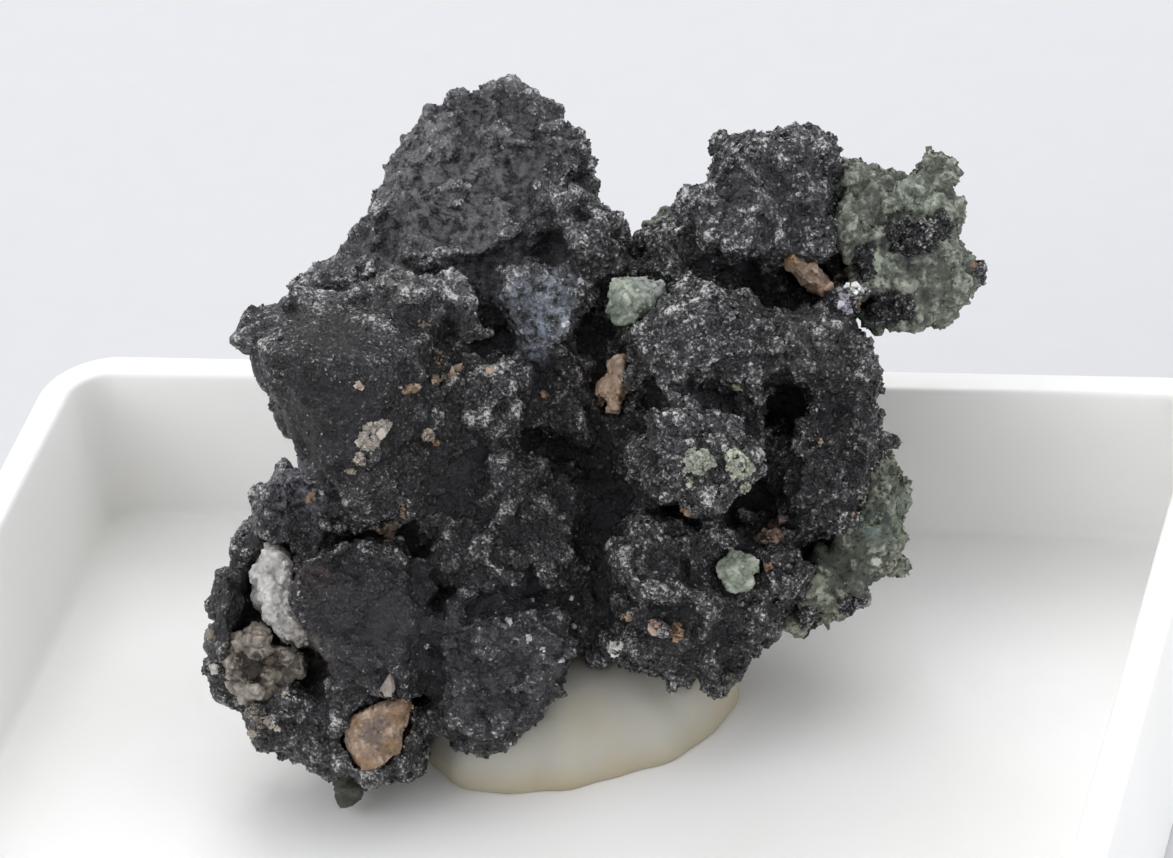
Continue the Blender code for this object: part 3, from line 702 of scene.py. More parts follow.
    def grains(self, s: Surface, share: bpy.types.NodeSocket) -> bpy.types.NodeSocket:
        """Uneven round-topped grains, too small for the mesh.

        Args:
            s: the material's nodes.
            share: how much of their height is left at each place.

        Returns:
            The output that holds their height, from 0 in the gaps to 1 on their tops.
        """
        bent = s.add("TexNoise", {"Vector": s.place, "Scale": 1 / 0.3, "Detail": 3.0}, "Color")
        moved = s.add("VectorMath", {0: bent, 1: (0.35, 0.35, 0.35), 2: s.place}, operation="MULTIPLY_ADD")
        cells = s.add("TexVoronoi", {"Vector": moved, "Scale": 1 / self.lump_mm}, "Distance")
        top = s.add("MapRange", {"Value": cells, "From Min": 0.15, "From Max": 0.70, "To Min": 1.0,
                                 "To Max": 0.0})
        return s.add("Math", {0: top, 1: share}, operation="MULTIPLY")


@dataclass(frozen=True)
class GranularMineral:
    """A mineral that grew or broke as small grains, so its colour changes from grain to grain.

    The grain colours run from dark to pale by each grain's own tone, and a finer noise breaks them up. A
    little subsurface light gives pale grains their waxy edge.
    """

    name: str
    slot: str
    dark: str
    middle: str
    pale: str
    grain_mm: float
    roughness: float
    ior: float
    subsurface: float = 0.0
    relief: float = 0.7

    def coat(self) -> Coat:
        """Builds the finish from each vertex's crest, tone and stain.

        Returns:
            The coat, which is the material and its slot.
        """
        s = Surface(self.name)
        tone, crest = (s.add("Attribute", {}, "Fac", attribute_name=name) for name in ("tone", "crest"))
        stain_and_painted_light = s.add("Attribute", {}, "Color", attribute_name="stain_and_painted_light")
        blotch = s.blotches(self.grain_mm * 1.6, 5.0, 0.34, 0.66)
        raised = s.add("Math", {0: crest, 1: 0.6, 2: blotch}, operation="MULTIPLY_ADD")
        shade = s.add("Math", {0: tone, 1: 0.5, 2: raised}, operation="MULTIPLY_ADD")
        to_middle = s.add("MapRange", {"Value": shade, "From Max": 1.0})
        to_pale = s.add("MapRange", {"Value": shade, "From Min": 1.0, "From Max": 2.0})
        lower = s.add("Mix", {0: to_middle, 6: linear(self.dark), 7: linear(self.middle)}, 2,
                      data_type="RGBA")
        upper = s.add("Mix", {0: to_pale, 6: lower, 7: linear(self.pale)}, 2, data_type="RGBA")
        ragged = s.add("Math", {0: stain_and_painted_light.node.outputs["Alpha"], 1: s.blotches(0.35, 4.0, 0.30, 0.70)},
                       operation="ADD")
        stained = s.add("MapRange", {"Value": ragged, "From Min": 0.85, "From Max": 1.1})
        uneven = s.add("MapRange", {"Value": shade, "From Max": 1.8, "To Min": 0.62, "To Max": 1.38})
        tinted = s.add("VectorMath", {0: stain_and_painted_light, "Scale": uneven}, operation="SCALE")
        grit = s.add("TexNoise", {"Vector": s.place, "Scale": 2.2 / self.grain_mm, "Detail": 4.0}, "Fac")
        return Coat(s.finish({
            "Base Color": s.add("Mix", {0: stained, 6: upper, 7: tinted}, 2, data_type="RGBA"),
            "Normal": s.add("Bump", {"Height": grit, "Strength": self.relief,
                                     "Distance": self.grain_mm * 0.4 * MM}),
            "Roughness": self.roughness, "IOR": self.ior, "Subsurface Weight": self.subsurface,
            "Subsurface Radius": (1.0, 0.95, 0.85), "Subsurface Scale": 0.4 * MM,
        }), self.slot)


@dataclass(frozen=True)
class PressedTack:
    """Mounting tack, a soft waxy polymer pressed by hand: milky, with a blurred gloss and finger swells."""

    body: str = "#bcbab0"
    yellowed: str = "#b7a988"
    roughness: float = 0.42
    ior: float = 1.5

    def coat(self) -> Coat:
        """Builds the finish, yellowed at the blob's edge.

        Returns:
            The coat, which is the material and its slot.
        """
        s = Surface("pressed mounting tack")
        edge = s.add("Attribute", {}, "Fac", attribute_name="edge")
        aged = s.add("Math", {0: s.blotches(2.2, 2.0, 0.45, 0.75), 1: 0.35, 2: edge},
                     operation="MULTIPLY_ADD", use_clamp=True)
        swell = s.add("TexNoise", {"Vector": s.place, "Scale": 1 / 0.9, "Detail": 2.0}, "Fac")
        return Coat(s.finish({
            "Base Color": s.add("Mix", {0: aged, 6: linear(self.body), 7: linear(self.yellowed)}, 2,
                                data_type="RGBA"),
            "Normal": s.add("Bump", {"Height": swell, "Strength": 0.25, "Distance": 0.15 * MM}),
            "Roughness": self.roughness, "IOR": self.ior, "Subsurface Weight": 0.55,
            "Subsurface Radius": (1.0, 0.95, 0.8), "Subsurface Scale": 1.2 * MM,
        }), "off_white_tack")


@dataclass(frozen=True)
class MouldedPolystyrene:
    """White injection-moulded polystyrene: an even satin skin with a faint orange peel and light scuffs."""

    body: str = "#fcfcfa"
    worn: str = "#f6f5f0"
    roughness: tuple[float, float] = (0.38, 0.52)
    ior: float = 1.59

    def coat(self) -> Coat:
        """Builds the finish, with its scuffs and its orange peel.

        Returns:
            The coat, which is the material and its slot.
        """
        s = Surface("moulded white polystyrene")
        tinge, scuffs = s.blotches(9.0, 2.0, 0.4, 0.8), s.blotches(0.6, 5.0, 0.45, 0.7)
        peel = s.add("TexNoise", {"Vector": s.place, "Scale": 1 / 0.5, "Detail": 2.0}, "Fac")
        return Coat(s.finish({
            "Base Color": s.add("Mix", {0: tinge, 6: linear(self.body), 7: linear(self.worn)}, 2,
                                data_type="RGBA"),
            "Roughness": s.add("MapRange", {"Value": scuffs, "To Min": self.roughness[0],
                                            "To Max": self.roughness[1]}),
            "Normal": s.add("Bump", {"Height": peel, "Strength": 0.06, "Distance": 0.05 * MM}),
            "IOR": self.ior, "Subsurface Weight": 0.15,
            "Subsurface Radius": (1.0, 1.0, 0.95), "Subsurface Scale": 0.8 * MM,
        }), "white_polystyrene")


# Crumbly green rock: matt grains from near black to grey-green, with no gloss.
CHLORITE = GranularMineral("granular chlorite", "green_matrix", "#2a2e27", "#60665a", "#b0b5a6",
                           0.12, 0.62, 1.6)
# The same rock with more iron in it, so a darker and yellower green.
DARK_CHLORITE = GranularMineral("dark granular chlorite", "green_matrix", "#262a22", "#53584b", "#a2a592",
                                0.12, 0.6, 1.6)
# Grown as small packed crystals: a waxy, slightly see-through pale green.
PREHNITE = GranularMineral("pale green prehnite", "pale_green_mineral", "#5a6156", "#8b9484", "#c1c7b9",
                           0.14, 0.45, 1.62, 0.1)
# Cleaved crystals clouded by fine cracks: milky white with a soft gloss.
CALCITE = GranularMineral("milky calcite", "white_calcite", "#8a8784", "#bbb8b4", "#e6e4e1",
                          0.4, 0.4, 1.58, 0.2)
# A dried film of mud: dull, dusty tan.
CLAY = GranularMineral("dried clay crust", "tan_crust", "#453f39", "#80786e", "#bdb6ab", 0.25, 0.85, 1.5)
# Broken feldspar with rust in its cracks: brown, with paler fresh faces.
IRON_STAINED = GranularMineral("iron-stained feldspar", "iron_stained_mineral", "#5d5045", "#937d6b",
                               "#ccb79f", 0.16, 0.6, 1.53, 0.05)


# ---------------------------------------------------------------- rock skins

PATCH_EDGE = 1.35
ROCK_BACK = -9.5


@dataclass(frozen=True)
class Patch(Place):
    """A tinted place on a rock, with the tint's colour and strength."""

    # A tint is mostly the rock's own stain; at some places it is painted light and shade.
    colour: str
    strength: float

    def share(self, display: np.ndarray) -> np.ndarray:
        """How strongly each display point is tinted, which is not at all at the back of the rock."""
        in_front = np.clip(display[:, 2] - ROCK_BACK, 0, 1)
        return self.strength * np.clip(PATCH_EDGE - self.apart(display), 0, 1) * in_front


def tints_and_painted_light(points: np.ndarray, patches: tuple[Patch, ...]) -> np.ndarray:
    """The tint of each point, with its strength as alpha.

    Args:
        points: the points.
        patches: the tinted places, of which the strongest counts.

    Returns:
        One row of red, green, blue and alpha for each point.
    """
    display = DISPLAY.to_display(points)
    colours = np.zeros((len(points), 4))
    for patch in patches:
        share = patch.share(display)
        stronger = share > colours[:, 3]
        colours[stronger, :3] = linear(patch.colour)[:3]
        colours[stronger, 3] = share[stronger]
    return colours


@dataclass(frozen=True)
class Sparkle(Place):
    """How thickly bright crystals cover a place, where 1 is a full cover."""

    cover: float


def crystal_cover(points: np.ndarray, places: tuple[Sparkle, ...], elsewhere: float) -> np.ndarray:
    """The cover of bright crystals at each point, which runs smoothly from place to place.

    Args:
        points: the points.
        places: the places.
        elsewhere: the cover away from all of them.

    Returns:
        One value for each point.
    """
    display = DISPLAY.to_display(points)
    weight = np.full(len(points), 0.12)
    total = weight * elsewhere
    for place in places:
        near = np.exp(-2.5 * place.apart(display) ** 2)
        weight = weight + near
        total = total + near * place.cover
    return total / weight


class RockSkin:
    """A rock's fine surface, grown from its CAD solid."""

    def __init__(self, name: str, node: str, voxel_mm: float, grow_mm: float = 0.0) -> None:
        """Copies a CAD node's shape as an even, fine mesh.

        Args:
            name: the new piece's name.
            node: the CAD node that it stands for.
            voxel_mm: the mesh's face width.
            grow_mm: how far the surface is moved out first.
        """
        self.name = name
        self.node = node
        helper = link("helper", bpy.data.objects[node].data.copy())
        self.take(modified(helper, "REMESH", {"mode": "VOXEL", "voxel_size": voxel_mm * MM}))
        move_points(self.mesh, points_of(self.mesh) + normals_of(self.mesh) * grow_mm)

    def take(self, mesh: bpy.types.Mesh) -> None:
        """Makes a mesh the skin's own and lists its edges.

        Args:
            mesh: the mesh.
        """
        self.mesh = mesh
        mesh.name = self.name
        self.edges = values_of(mesh.edges, "vertices", 2, np.int32)
        self.around = np.bincount(self.edges.ravel(), minlength=len(mesh.vertices)).astype(float)

    def averaged(self, values: np.ndarray, rounds: int) -> np.ndarray:
        """Each vertex's values averaged with those of its neighbours, again and again.

        Args:
            values: one number or one row for each vertex.
            rounds: how many times.

        Returns:
            The averaged values.
        """
        first, second = self.edges.T
        around = self.around if values.ndim == 1 else self.around[:, None]
        for _ in range(rounds):
            total = np.zeros_like(values)
            np.add.at(total, first, values[second])
            np.add.at(total, second, values[first])
            values = 0.5 * values + 0.5 * total / around
        return values

    def soften(self, rounds: int) -> None:
        """Rounds off the CAD solid's facets by averaging each vertex with its neighbours."""
        move_points(self.mesh, self.averaged(points_of(self.mesh), rounds))

    def raise_by(self, heights: np.ndarray) -> None:
        """Moves each vertex out along its normal by its own height, in millimetres."""
        move_points(self.mesh, points_of(self.mesh) + normals_of(self.mesh) * heights[:, None])

    def carve(self, layers: tuple[Relief | Beds, ...], calm: tuple[CalmPlace, ...] = ()) -> None:
        """Adds layers of relief along the surface's normals.

        Args:
            layers: the relief.
            calm: the places where less of it is left.
        """
        points = points_of(self.mesh)
        heights = sum(layer.heights(points) for layer in layers)
        if calm:
            display = DISPLAY.to_display(points)
            heights = heights * np.min([place.left(display) for place in calm], axis=0)
        self.raise_by(heights)

    def pull(self, pulls: tuple[Pull | Fill, ...]) -> None:
        """Draws the surface along the display face, or out of it, at some places."""
        points = points_of(self.mesh)
        move_points(self.mesh, points + sum(pull.moves(points) for pull in pulls))

    def grow_towards(self, other: BVHTree, reach_mm: float, most_mm: float) -> None:
        """Swells the surface where a neighbour is near, so that the gap between them closes.

        Args:
            other: the neighbour's surface.
            reach_mm: how near the neighbour has to be.
            most_mm: the most that the surface swells.
        """
        overlap_mm = 0.06
        apart = np.array([other.find_nearest(Vector(point))[3] for point in points_of(self.mesh)])
        swell = np.where(apart < reach_mm, np.minimum(apart + overlap_mm, most_mm), 0.0)
        self.raise_by(self.averaged(swell, 3))

    def thin_far_side(self, share: float, levels: int = 5) -> None:
        """Merges small faces on the side away from the display face.

        Args:
            share: the share of the faces that is kept in all.
            levels: how many steps the merging has from the display face to the far side.
        """
        depth = DISPLAY.to_display(points_of(self.mesh))[:, 2]
        far = np.clip(0.6 - normals_of(self.mesh) @ DISPLAY.out() - 0.15 * (depth + 6.0), 0, 1)
        helper = link("helper", self.mesh)
        group = helper.vertex_groups.new(name="far")
        for level in range(1, levels + 1):
            chosen = np.flatnonzero(np.round(far * levels) == level)
            group.add(chosen.tolist(), level / levels, "REPLACE")
        self.take(modified(helper, "DECIMATE", {"ratio": share, "vertex_group": "far",
                                                "vertex_group_factor": 8.0}))

    def above(self, rounds: int) -> np.ndarray:
        """How far each vertex stands out of its surroundings, in millimetres."""
        points = points_of(self.mesh)
        return ((points - self.averaged(points, rounds)) * normals_of(self.mesh)).sum(axis=1)

    def crests(self, rounds: int, full_mm: float) -> np.ndarray:
        """How far each vertex stands out, where 1 is `full_mm` or more."""
        return np.clip(self.above(rounds) / full_mm, 0, 1)

    def hollows(self, rounds: int, full_mm: float) -> np.ndarray:
        """How far each vertex lies below its surroundings, where 1 is `full_mm` or more."""
        return np.clip(self.averaged(-self.above(rounds), 6) / full_mm, 0, 1)

    def finish(self, coat: Coat, patches: tuple[Patch, ...], seed: int, tone_mm: float = 0.4) -> None:
        """Stores the values that the material reads and shows the piece in place of its node.

        Args:
            coat: the finish.
            patches: the tinted places.
            seed: picks the grain tones.
            tone_mm: how wide the grains of one tone are.
        """
        points = points_of(self.mesh)
        paint(self.mesh, "crest", 0.5 * self.crests(4, 0.03) + 0.5 * self.crests(24, 0.12))
        paint(self.mesh, "tone", grain_cells(points, tone_mm, seed)[1][:, 0])
        paint(self.mesh, "stain_and_painted_light", tints_and_painted_light(points, patches))
        place_piece(self.name, self.mesh, coat, node=self.node)

    def tree(self) -> BVHTree:
        """The surface for ray casts."""
        faces = [tuple(polygon.vertices) for polygon in self.mesh.polygons]
        return BVHTree.FromPolygons(points_of(self.mesh).tolist(), faces)


# ---------------------------------------------------------------- grains


class ChipShape(Enum):
    """Shapes that broken or grown grains have."""

    CUBE = "cube"
    OCTAHEDRON = "octahedron"
    SHARD = "shard"


GROWN = (ChipShape.CUBE, ChipShape.OCTAHEDRON)
CRUSHED = (ChipShape.CUBE, ChipShape.SHARD)
BROKEN = (ChipShape.SHARD,)


def hull_triangles(corners: np.ndarray) -> tuple[np.ndarray, np.ndarray]:
    """The convex hull of some corners.

    Args:
        corners: rows of x, y, z.

    Returns:
        The hull's vertices and its triangles as rows of vertex numbers.
    """
    bm = bmesh.new()
    made = bmesh.ops.convex_hull(bm, input=[bm.verts.new(corner) for corner in corners])
    unused = {v for v in made["geom_interior"] + made["geom_unused"] if isinstance(v, bmesh.types.BMVert)}
    bmesh.ops.delete(bm, geom=list(unused), context="VERTS")
    bmesh.ops.recalc_face_normals(bm, faces=bm.faces)
    bmesh.ops.triangulate(bm, faces=bm.faces)
    bm.verts.index_update()
    points = np.array([vertex.co[:] for vertex in bm.verts])
    triangles = np.array([[vertex.index for vertex in face.verts] for face in bm.faces])
    bm.free()
    return points, triangles


def chip_shapes(kinds: tuple[ChipShape, ...], seed: int) -> list[tuple[np.ndarray, np.ndarray]]:
    """Chips about 1 mm wide, one or more of each kind.

    Args:
        kinds: the kinds that are wanted.
        seed: picks the broken ones' corners.

    Returns:
        Vertices and triangles of each chip.
    """
    random = np.random.default_rng(seed)
    found = []
    for kind in kinds:
        if kind is ChipShape.CUBE:
            found.append(hull_triangles(np.array(list(itertools.product((-0.42, 0.42), repeat=3)))))
        elif kind is ChipShape.OCTAHEDRON:
            found.append(hull_triangles(np.concatenate([np.eye(3), -np.eye(3)]) * 0.55))
        else:
            for _ in range(3):
                way = random.normal(size=(8, 3))
                found.append(hull_triangles(way / np.linalg.norm(way, axis=1)[:, None] * 0.5))
    return found


def random_turns(random: np.random.Generator, count: int) -> np.ndarray:
    """Random rotations.

    Args:
        random: the source of random numbers.
        count: how many are wanted.

    Returns:
        An array of 3 by 3 rotation matrices.
    """
    q = random.normal(size=(count, 4))
    q /= np.linalg.norm(q, axis=1)[:, None]
    w, x, y, z = q.T
    rows = np.array([
        [1 - 2 * (y * y + z * z), 2 * (x * y - z * w), 2 * (x * z + y * w)],
        [2 * (x * y + z * w), 1 - 2 * (x * x + z * z), 2 * (y * z - x * w)],
        [2 * (x * z - y * w), 2 * (y * z + x * w), 1 - 2 * (x * x + y * y)],
    ])
    return rows.transpose(2, 0, 1)


@dataclass(frozen=True)
class Inlay:
    """A place on the display face where grains of another mineral show.

    `spread` is half its width and height, `turn_deg` tilts it, and `colour` tints its grains.
    """

    x: float
    y: float
    spread: tuple[float, float]
    count: int
    colour: str
    turn_deg: float = 0.0
    tries_per_grain: float = 4.2
    ragged_mm: float = 0.35

    def places(self, surface: BVHTree, random: np.random.Generator) -> tuple[np.ndarray, np.ndarray]:
        """Where its grains sit on the part of the surface that shows.

        Args:
            surface: the rock's surface.
            random: the source of random numbers.

        Returns:
            The places and the surface's normals there.
        """
        angle, eye = math.radians(self.turn_deg), DISPLAY.eye()
        places, normals = [], []
        for _ in range(int(self.count * self.tries_per_grain)):
            along, way = math.sqrt(random.random()), random.uniform(0, 2 * math.pi)
            a = along * math.cos(way) * self.spread[0]
            b = along * math.sin(way) * self.spread[1]
            aim = (self.x + a * math.cos(angle) - b * math.sin(angle),
                   self.y + a * math.sin(angle) + b * math.cos(angle), 0.0)
            target = Vector(DISPLAY.to_tray(np.array([aim]))[0])
            hit, normal, _, _ = surface.ray_cast(eye, (target - eye).normalized())
            if hit is None:
                continue
            if along < 0.75 + 0.9 * smooth_noise(np.array([hit[:]]), self.ragged_mm, 7)[0]:
                places.append(hit[:])
                normals.append(normal[:])
        return np.array(places), np.array(normals)


@dataclass(frozen=True)
class Grit:
    """Many small grains of one mineral, joined in one mesh."""

    name: str
    kinds: tuple[ChipShape, ...]
    smallest_mm: float
    largest_mm: float
    seed: int
    sunk: float = 0.36

    def build(self, places: np.ndarray, normals: np.ndarray, tints: np.ndarray, coat: Coat) -> None:
        """Makes a grain at each place and shows them as one piece.

        Args:
            places: points on the surface that carries the grains.
            normals: that surface's normals.
            tints: red, green, blue and alpha of each grain's stain.
            coat: the grains' finish.
        """
        random = np.random.default_rng(self.seed)
        count = len(places)
        span = math.log(self.largest_mm / self.smallest_mm)
        size = self.smallest_mm * np.exp(span * random.random(count) ** 1.8)
        stretch = size[:, None] * random.uniform(0.7, 1.3, (count, 3))
        turns = random_turns(random, count)
        centres = places + normals * (size * (0.5 - self.sunk) * random.uniform(0.1, 1.0, count))[:, None]
        tone = random.random(count)
        shapes = chip_shapes(self.kinds, self.seed)
        pick = random.integers(0, len(shapes), count)
        points, triangles, tones, colours = [], [], [], []
        start = 0
        for number, (corners, faces) in enumerate(shapes):
            chosen = np.flatnonzero(pick == number)
            made = np.einsum("nij,nvj->nvi", turns[chosen], corners[None] * stretch[chosen][:, None])
            points.append((made + centres[chosen][:, None]).reshape(-1, 3))
            first = start + np.arange(len(chosen)) * len(corners)
            triangles.append((faces[None] + first[:, None, None]).reshape(-1, 3))
            tones.append(np.repeat(tone[chosen], len(corners)))
            colours.append(np.repeat(tints[chosen], len(corners), axis=0))
            start += len(chosen) * len(corners)
        mesh = triangle_mesh(self.name, np.concatenate(points), np.concatenate(triangles))
        paint(mesh, "tone", np.concatenate(tones))
        paint(mesh, "crest", np.concatenate(tones) ** 2)
        paint(mesh, "cover", np.ones(len(mesh.vertices)))
        paint(mesh, "stain_and_painted_light", np.concatenate(colours))
        place_piece(self.name, mesh, coat, smooth=False)

    def scatter(self, mesh: bpy.types.Mesh, count: int, coat: Coat, patches: tuple[Patch, ...],
                cover: np.ndarray | None = None) -> None:
        """Scatters grains over a mesh, tinted as it is.

        Args:
            mesh: the mesh that carries them.
            count: how many there are.
            coat: their finish.
            patches: the tinted places.
            cover: how thickly they lie at each vertex, or None where they lie evenly.
        """
        random = np.random.default_rng(self.seed)
        likely = values_of(mesh.polygons, "area").astype(np.float64)
        if cover is not None:
            first = values_of(mesh.polygons, "loop_start", kind=np.int32)
            likely *= cover[values_of(mesh.loops, "vertex_index", kind=np.int32)[first]]
        chosen = random.choice(len(likely), count, p=likely / likely.sum())
        places = values_of(mesh.polygons, "center", 3)[chosen].astype(np.float64) / MM
        normals = values_of(mesh.polygons, "normal", 3)[chosen].astype(np.float64)
        places = places + random.normal(0, 0.015, places.shape)
        self.build(places, normals, tints_and_painted_light(places, patches), coat)

    def inlay(self, inlays: tuple[Inlay, ...], surface: BVHTree, coat: Coat) -> None:
        """Sets grains into a surface at each inlay.

        Args:
            inlays: where they sit.
            surface: the surface that carries them.
            coat: their finish.
        """
        random = np.random.default_rng(self.seed + 1)
        places, normals, tints = [], [], []
        for inlay in inlays:
            spots, facing = inlay.places(surface, random)
            if len(spots) == 0:
                LOG.warning("%s: nothing is under the inlay at %.1f, %.1f", self.name, inlay.x, inlay.y)
                continue
            places.append(spots)
            normals.append(facing)
            tint = np.tile(linear(inlay.colour, 0.8), (len(spots), 1))
            tint[:, :3] *= random.uniform(0.55, 1.35, (len(spots), 1))
            tints.append(np.clip(tint, 0, 1))
        self.build(*map(np.concatenate, (places, normals, tints)), coat)


# ---------------------------------------------------------------- the pieces


@dataclass
class SilverMass:
    """The black silver with its crust of small crystals."""

    face_mm: float = 0.135
    kept_faces: float = 0.74
    sugar_count: int = 19500
    crystal_count: int = 5000
    sunk: float = 0.55
    cover_elsewhere: float = 0.8
    coarse: tuple[Relief | Beds, ...] = (
        Relief(ReliefKind.LUMPS, 1.3, 0.18, 5),
        Relief(ReliefKind.FACETS, 0.9, 0.16, 9),
        Relief(ReliefKind.LUMPS, 0.55, 0.09, 7),
        Relief(ReliefKind.GRAINS, 0.42, 0.055, 11),
    )
    fine: tuple[Relief | Beds, ...] = (
        Relief(ReliefKind.LUMPS, 0.30, 0.025, 13),
        Beds((-3.8, 9.6, -6.5), 2.8, (-0.30, 0.95), 0.55, 0.10, 31),
        Beds((-6.6, 6.6, -5.0), 2.6, (0.85, -0.52), 0.5, 0.08, 37),
        Beds((-9.0, 0.6, -0.4), 2.8, (0.80, 0.60), 0.40, 0.05, 33),
        Beds((1.0, 6.6, -4.5), 2.0, (0.55, 0.83), 0.5, 0.10, 35),
    )
    pulls: tuple[Pull | Fill, ...] = (
        Pull(0.35, -6.2, 0.9, (0.1, -1.3)), Fill(6.0, -0.6, (0.9, 1.1), -2.2),
        Fill(-7.3, -3.1, (1.5, 0.6), -3.0), Fill(-4.9, -3.4, (0.7, 0.7), -3.2),
    )
    calm: tuple[CalmPlace, ...] = (
        CalmPlace((-8.2, 1.4, 0.8), 4.4, 0.15), CalmPlace((-9.8, 1.0, -1.0), 2.6, 0.2),
        CalmPlace((-1.4, 3.9, -2.7), 1.7, 0.40), CalmPlace((-7.2, -6.3, -2.6), 2.4, 0.50),
        CalmPlace((3.0, 2.8, -0.6), 1.9, 0.50), CalmPlace((-4.4, 7.6, -5.4), 3.0, 0.60),
    )
    sparkles: tuple[Sparkle, ...] = (
        Sparkle(3.6, -0.8, 2.2, 1.0), Sparkle(-9.8, 3.5, 0.9, 1.2), Sparkle(-8.2, 3.9, 1.0, 1.4),
        Sparkle(-7.0, 4.1, 0.8, 1.5), Sparkle(-5.2, 3.8, 0.8, 0.9), Sparkle(-4.5, 4.7, 0.9, 1.6),
        Sparkle(-8.4, 2.8, 1.3, 0.5), Sparkle(-7.6, 0.6, 2.0, 0.35), Sparkle(-9.8, 1.2, 0.8, 0.9),
        Sparkle(3.0, 3.9, 1.6, 1.5), Sparkle(7.0, 2.9, 1.6, 0.9), Sparkle(6.0, 7.6, 2.2, 0.9),
        Sparkle(3.0, 6.6, 1.3, 1.3), Sparkle(2.4, -4.2, 2.0, 1.0), Sparkle(4.8, -6.6, 2.0, 0.65),
        Sparkle(7.8, -1.0, 2.2, 0.6), Sparkle(-2.8, 0.8, 1.6, 1.2), Sparkle(-2.4, -2.2, 1.6, 0.7),
        Sparkle(-7.0, -6.0, 2.2, 0.3), Sparkle(-5.4, -6.0, 1.6, 0.2), Sparkle(-2.8, -7.6, 2.2, 0.5),
        Sparkle(-4.2, 8.2, 3.2, 0.6), Sparkle(-8.0, -9.4, 1.6, 0.8), Sparkle(-11.0, -5.6, 1.4, 0.4),
        Sparkle(-0.8, 7.4, 1.2, 1.0), Sparkle(0.3, -2.5, 1.2, 0.3), Sparkle(-4.2, -1.5, 1.4, 0.3),
    )
    # Painted light and shade among these tints: the grey of the peak at -4.2, 8.0 and the lighter top of the
    # right block at 6.9, 2.8 are painted light from above, and the dark tints on the wedge's front at -8.6,
    # 0.8 and -6.4, -0.6 and below the right block at 7.6, 0.4 are painted shade.
    patches: tuple[Patch, ...] = (
        Patch(-4.2, 8.0, 3.8, "#88888b", 0.85), Patch(-8.4, 4.9, 1.2, "#76767a", 0.6),
        Patch(-8.6, 0.8, 2.2, "#1e1d1d", 0.6), Patch(-6.4, -0.6, 1.8, "#1e1d1d", 0.5),
        Patch(-8.2, 3.3, 1.2, "#4e5049", 0.5), Patch(-6.8, -6.2, 2.0, "#3f3d40", 0.6),
        Patch(6.0, 7.4, 2.4, "#737377", 0.45), Patch(6.9, 2.8, 1.1, "#6d6b67", 0.55),
        Patch(7.6, 0.4, 1.1, "#1f1e20", 0.55), Patch(-8.6, -4.7, 0.7, "#5c514c", 0.7),
        Patch(-8.2, -4.1, 0.9, "#2a282a", 0.5), Patch(-5.9, 4.7, 0.6, "#8f8f8b", 0.8),
        Patch(-2.2, 4.3, 0.75, "#999fa9", 0.9), Patch(-1.1, 4.4, 0.75, "#a4abb6", 0.9),
        Patch(-1.5, 3.4, 0.8, "#a0a9b6", 0.95), Patch(-0.8, 3.5, 0.5, "#b9c1cb", 0.9),
        Patch(-1.7, 2.5, 0.55, "#8f98a4", 0.9), Patch(-9.4, -1.9, 1.0, "#94949c", 1.0),
        Patch(-10.2, -7.4, 1.4, "#7c746b", 0.45), Patch(-11.3, -5.4, 0.9, "#575251", 0.5),
        Patch(-8.6, -7.1, 0.7, "#6f6a63", 0.8), Patch(-2.6, -7.6, 2.4, "#65676d", 0.5),
        Patch(-0.6, -7.9, 0.9, "#77777a", 0.5),
    )

    def build(self, coat: Coat) -> RockSkin:
        """Builds the mass and its crystals.

        Args:
            coat: the silver's finish.

        Returns:
            The mass's skin, for other minerals to sit on.
        """
        skin = RockSkin("silver_mass", "native_silver", self.face_mm)
        skin.soften(1)
        skin.pull(self.pulls)
        skin.carve(self.coarse, self.calm)
        skin.carve(self.fine)
        skin.thin_far_side(self.kept_faces)
        skin.finish(coat, self.patches, 19)
        cover = crystal_cover(points_of(skin.mesh), self.sparkles, self.cover_elsewhere)
        fewer_in_hollows = 1 - 0.9 * skin.hollows(120, 0.35)
        cover *= fewer_in_hollows * (0.72 + 0.6 * skin.crests(40, 0.25))
        paint(skin.mesh, "cover", cover)
        for grit, count in ((Grit("silver_sugar", GROWN, 0.05, 0.13, 23, self.sunk), self.sugar_count),
                            (Grit("silver_crystals", GROWN, 0.11, 0.22, 29, self.sunk), self.crystal_count)):
            grit.scatter(skin.mesh, count, coat, self.patches, cover)
        return skin


@dataclass(frozen=True)
class GreenMass:
    """One mass of the green rock: its node, how many loose grains sit on it, and its tinted places."""

    name: str
    node: str
    grains: int
    seed: int
    patches: tuple[Patch, ...] = ()
    face_mm: float = 0.12
    relief: tuple[Relief, ...] = (
        Relief(ReliefKind.LUMPS, 1.2, 0.18, 41),
        Relief(ReliefKind.FACETS, 0.6, 0.16, 43),
        Relief(ReliefKind.LUMPS, 0.4, 0.06, 45),
        Relief(ReliefKind.GRAINS, 0.25, 0.06, 47),
    )

    def build(self, silver: BVHTree, coat: Coat) -> BVHTree:
        """Builds the mass with loose grains on it.

        Args:
            silver: the silver's surface.
            coat: the mass's finish.

        Returns:
            The mass's surface.
        """
        skin = RockSkin(self.name, self.node, self.face_mm)
        skin.soften(1)
        skin.grow_towards(silver, 0.6, 0.25)
        skin.carve(self.relief)
        skin.finish(coat, self.patches, self.seed)
        grit = Grit(self.name + "_grains", CRUSHED, 0.06, 0.20, self.seed, 0.5)
        grit.scatter(skin.mesh, self.grains, coat, self.patches)
        return skin.tree()


